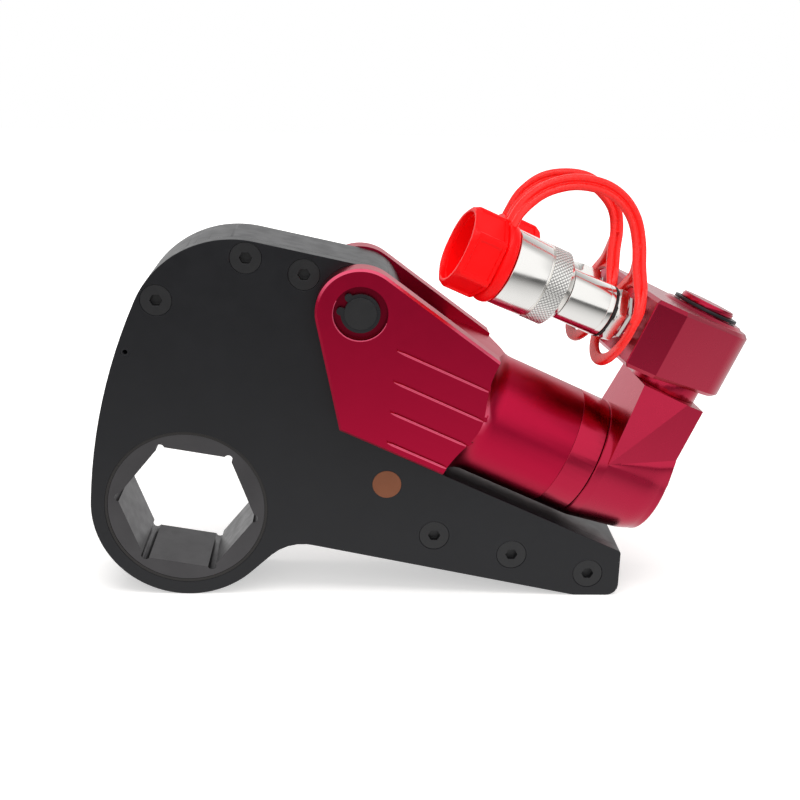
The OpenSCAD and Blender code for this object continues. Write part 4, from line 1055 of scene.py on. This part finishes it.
@dataclass
class Studio:
    """Pale floor, soft lamps, white surround and the photograph's camera."""

    floor_z: float = -36.0
    lens: float = 55.35
    eye: tuple[float, float, float] = (61.5, -449.9, 188.2)
    elevation: float = 18.33
    azimuth: float = -2.5
    roll: float = 1.35
    fill: float = 0.36

    def camera(self) -> None:
        """Sets the camera fitted to the photograph: its right and up axes turned by the roll."""
        e, a, r = (math.radians(v) for v in (self.elevation, self.azimuth, self.roll))
        back = Vector((math.sin(a) * math.cos(e), -math.cos(a) * math.cos(e), math.sin(e)))
        ahead = -back
        right = ahead.cross(Vector((0, 0, 1))).normalized()
        up = right.cross(ahead)
        x = right * math.cos(r) + up * math.sin(r)
        y = up * math.cos(r) - right * math.sin(r)
        data = bpy.data.cameras.new("camera")
        data.lens = self.lens
        data.sensor_width = 36.0
        data.clip_start = 0.01
        obj = bpy.data.objects.new("camera", data)
        bpy.context.scene.collection.objects.link(obj)
        turn = Matrix((x, y, back)).transposed().to_4x4()
        obj.matrix_world = Matrix.Translation(Vector(self.eye) * MM) @ turn
        bpy.context.scene.camera = obj

    @staticmethod
    def _ramp(nodes: bpy.types.Nodes, links: bpy.types.NodeLinks, source: bpy.types.NodeSocket,
              low: float, high: float, stops: list[tuple[float, float]]) -> bpy.types.NodeSocket:
        """A grey level that follows stops of (value, level) of one coordinate.

        Args:
            nodes: the tree's nodes.
            links: the tree's links.
            source: the coordinate.
            low: value at the ramp's start.
            high: value at its end.
            stops: (value, level) pairs, with levels up to 1.

        Returns:
            The level's socket.
        """
        share = nodes.new("ShaderNodeMapRange")
        share.inputs["From Min"].default_value = low
        share.inputs["From Max"].default_value = high
        links.new(source, share.inputs["Value"])
        ramp = nodes.new("ShaderNodeValToRGB")
        links.new(share.outputs["Result"], ramp.inputs["Fac"])
        bar = ramp.color_ramp.elements
        bar.remove(bar[1])
        bar[0].position, bar[0].color = (stops[0][0] - low) / (high - low), (*(stops[0][1],) * 3, 1)
        for value, level in stops[1:]:
            bar.new((value - low) / (high - low)).color = (level, level, level, 1)
        return ramp.outputs["Color"]

    def surround(self) -> None:
        """White to the camera and to glass. Glossy rays see a room that is dark below the horizon and
        white above it in front, and that darkens overhead behind and at its right end."""
        world = bpy.data.worlds.new("surround")
        bpy.context.scene.world = world
        world.use_nodes = True
        nodes, links = world.node_tree.nodes, world.node_tree.links
        nodes.clear()
        path = nodes.new("ShaderNodeLightPath")
        coords = nodes.new("ShaderNodeTexCoord")
        parts = nodes.new("ShaderNodeSeparateXYZ")
        links.new(coords.outputs["Generated"], parts.inputs["Vector"])
        up, depth, across = parts.outputs["Z"], parts.outputs["Y"], parts.outputs["X"]
        front = self._ramp(nodes, links, up, -1, 1, [(-1, 0.2), (-0.02, 0.12), (0.03, 1.0), (1, 1.0)])
        back = self._ramp(nodes, links, up, -1, 1, [(-1, 0.8), (0.3, 0.95), (0.7, 0.5), (1, 0.36)])
        side = self._ramp(nodes, links, across, -1, 1, [(-1, 0.75), (-0.6, 1.0), (0.74, 1.0), (0.95, 0.4)])
        turn = self._ramp(nodes, links, depth, -1, 1, [(-0.16, 0.0), (0.14, 1.0)])
        whole = nodes.new("ShaderNodeMix")
        whole.data_type = "RGBA"
        links.new(turn, whole.inputs["Factor"])
        links.new(front, whole.inputs["A"])
        links.new(back, whole.inputs["B"])
        level = nodes.new("ShaderNodeMix")
        level.data_type = "RGBA"
        level.blend_type = "MULTIPLY"
        level.inputs["Factor"].default_value = 1.0
        links.new(whole.outputs["Result"], level.inputs["A"])
        links.new(side, level.inputs["B"])
        shaders = []
        for strength in (self.fill, 1.0, 1.0):
            shader = nodes.new("ShaderNodeBackground")
            shader.inputs["Color"].default_value = (1, 1, 1, 1)
            shader.inputs["Strength"].default_value = strength
            shaders.append(shader)
        light, glossy, plain = shaders
        links.new(level.outputs["Result"], glossy.inputs["Color"])
        mix = light.outputs[0]
        for ray, shader in (("Is Glossy Ray", glossy), ("Is Transmission Ray", plain),
                            ("Is Camera Ray", plain)):
            step = nodes.new("ShaderNodeMixShader")
            links.new(path.outputs[ray], step.inputs["Fac"])
            links.new(mix, step.inputs[1])
            links.new(shader.outputs[0], step.inputs[2])
            mix = step.outputs[0]
        out = nodes.new("ShaderNodeOutputWorld")
        links.new(mix, out.inputs["Surface"])

    def floor(self) -> None:
        """A wide pale sheet that keeps the object's shadow, reads white to the camera, and to glossy
        rays grows darker with its distance in front of the tool."""
        t = np.linspace(-1.6, 1.6, 2)
        x, y = np.meshgrid(t, t)
        grid = np.stack([x, y, np.full_like(x, self.floor_z * MM - 0.0001)], axis=-1) / MM
        shell = Shell.grid(grid, wrap_cols=False)
        mesh = bpy.data.meshes.new("floor")
        mesh.from_pydata(shell.points.tolist(), [], shell.quads.tolist())
        obj = bpy.data.objects.new("floor", mesh)
        bpy.context.scene.collection.objects.link(obj)
        mat = bpy.data.materials.new("floor_paper")
        mat.use_nodes = True
        nodes, links = mat.node_tree.nodes, mat.node_tree.links
        paper = nodes["Principled BSDF"]
        paper.inputs["Base Color"].default_value = (0.80, 0.785, 0.77, 1)
        paper.inputs["Roughness"].default_value = 0.9
        paper.inputs["Specular IOR Level"].default_value = 0.0
        coords = nodes.new("ShaderNodeTexCoord")
        parts = nodes.new("ShaderNodeSeparateXYZ")
        links.new(coords.outputs["Object"], parts.inputs["Vector"])
        away = nodes.new("ShaderNodeVectorMath")
        away.operation = "DISTANCE"
        links.new(coords.outputs["Object"], away.inputs[0])
        away.inputs[1].default_value = (0.08, 0.0, self.floor_z * MM)
        seen = self._ramp(nodes, links, away.outputs["Value"], 0, 1, [(0.14, 0.46), (0.5, 1.0)])
        mirrored = self._ramp(nodes, links, parts.outputs["Y"], -1.6, 0.4, [
            (-1.4, 0.08), (-0.8, 0.12), (-0.5, 0.24), (-0.34, 0.42), (-0.22, 0.62), (-0.1, 0.82),
            (0.05, 0.92)])
        aside = self._ramp(nodes, links, parts.outputs["X"], -1, 1, [
            (-0.6, 0.7), (-0.2, 1.0), (0.2, 1.0), (0.6, 0.45)])
        level = nodes.new("ShaderNodeMix")
        level.data_type = "RGBA"
        level.blend_type = "MULTIPLY"
        level.inputs["Factor"].default_value = 1.0
        links.new(mirrored, level.inputs["A"])
        links.new(aside, level.inputs["B"])
        glow, mirror = nodes.new("ShaderNodeEmission"), nodes.new("ShaderNodeEmission")
        links.new(seen, glow.inputs["Color"])
        links.new(level.outputs["Result"], mirror.inputs["Color"])
        both = nodes.new("ShaderNodeAddShader")
        links.new(paper.outputs[0], both.inputs[0])
        links.new(glow.outputs[0], both.inputs[1])
        shaded = nodes.new("ShaderNodeMixShader")
        shaded.inputs["Fac"].default_value = 0.94
        links.new(paper.outputs[0], shaded.inputs[1])
        links.new(mirror.outputs[0], shaded.inputs[2])
        path = nodes.new("ShaderNodeLightPath")
        mix = paper.outputs[0]
        for ray, shader in (("Is Glossy Ray", shaded), ("Is Camera Ray", both)):
            step = nodes.new("ShaderNodeMixShader")
            links.new(path.outputs[ray], step.inputs["Fac"])
            links.new(mix, step.inputs[1])
            links.new(shader.outputs[0], step.inputs[2])
            mix = step.outputs[0]
        links.new(mix, nodes["Material Output"].inputs["Surface"])
        mesh.materials.append(mat)

    def lamp(self, name: str, at: tuple[float, float, float], aim: tuple[float, float, float],
             size: tuple[float, float], power: float) -> None:
        """A soft box that metal doesn't mirror: the surround gives the reflections.

        Args:
            name: its name.
            at: where it stands, in metres.
            aim: the point that it faces.
            size: its two sides, in metres.
            power: watts.
        """
        data = bpy.data.lights.new(name, "AREA")
        data.shape = "RECTANGLE"
        data.size, data.size_y = size
        data.energy = power
        obj = bpy.data.objects.new(name, data)
        obj.visible_glossy = False
        bpy.context.scene.collection.objects.link(obj)
        look = Vector(aim) - Vector(at)
        obj.matrix_world = Matrix.Translation(Vector(at)) @ look.to_track_quat("-Z", "Y").to_matrix().to_4x4()

    def build(self) -> None:
        """Camera, surround, floor and lamps."""
        self.camera()
        self.surround()
        self.floor()
        centre = (0.08, 0.0, 0.03)
        self.lamp("top_box", (0.05, -0.15, 0.95), centre, (0.9, 0.7), 7.5)
        self.lamp("front_box", (0.0, -1.0, 0.56), centre, (1.6, 1.05), 5.2)
        self.lamp("side_box", (0.95, -0.25, 0.35), centre, (0.4, 0.6), 2.5)
        scene = bpy.context.scene
        scene.view_settings.view_transform = "Standard"


def main() -> None:
    """Builds the studio and every sub-assembly, and reports each piece."""
    logging.basicConfig(level=logging.INFO, format="%(name)s: %(message)s")
    Studio().build()
    Cassette("tool").build()
    PowerHead("tool").build()
    Swivel("swivel_elbow").build()
    Swivel("manifold").build_manifold()
    Couplers("manifold").build()


if __name__ == "__main__":
    main()
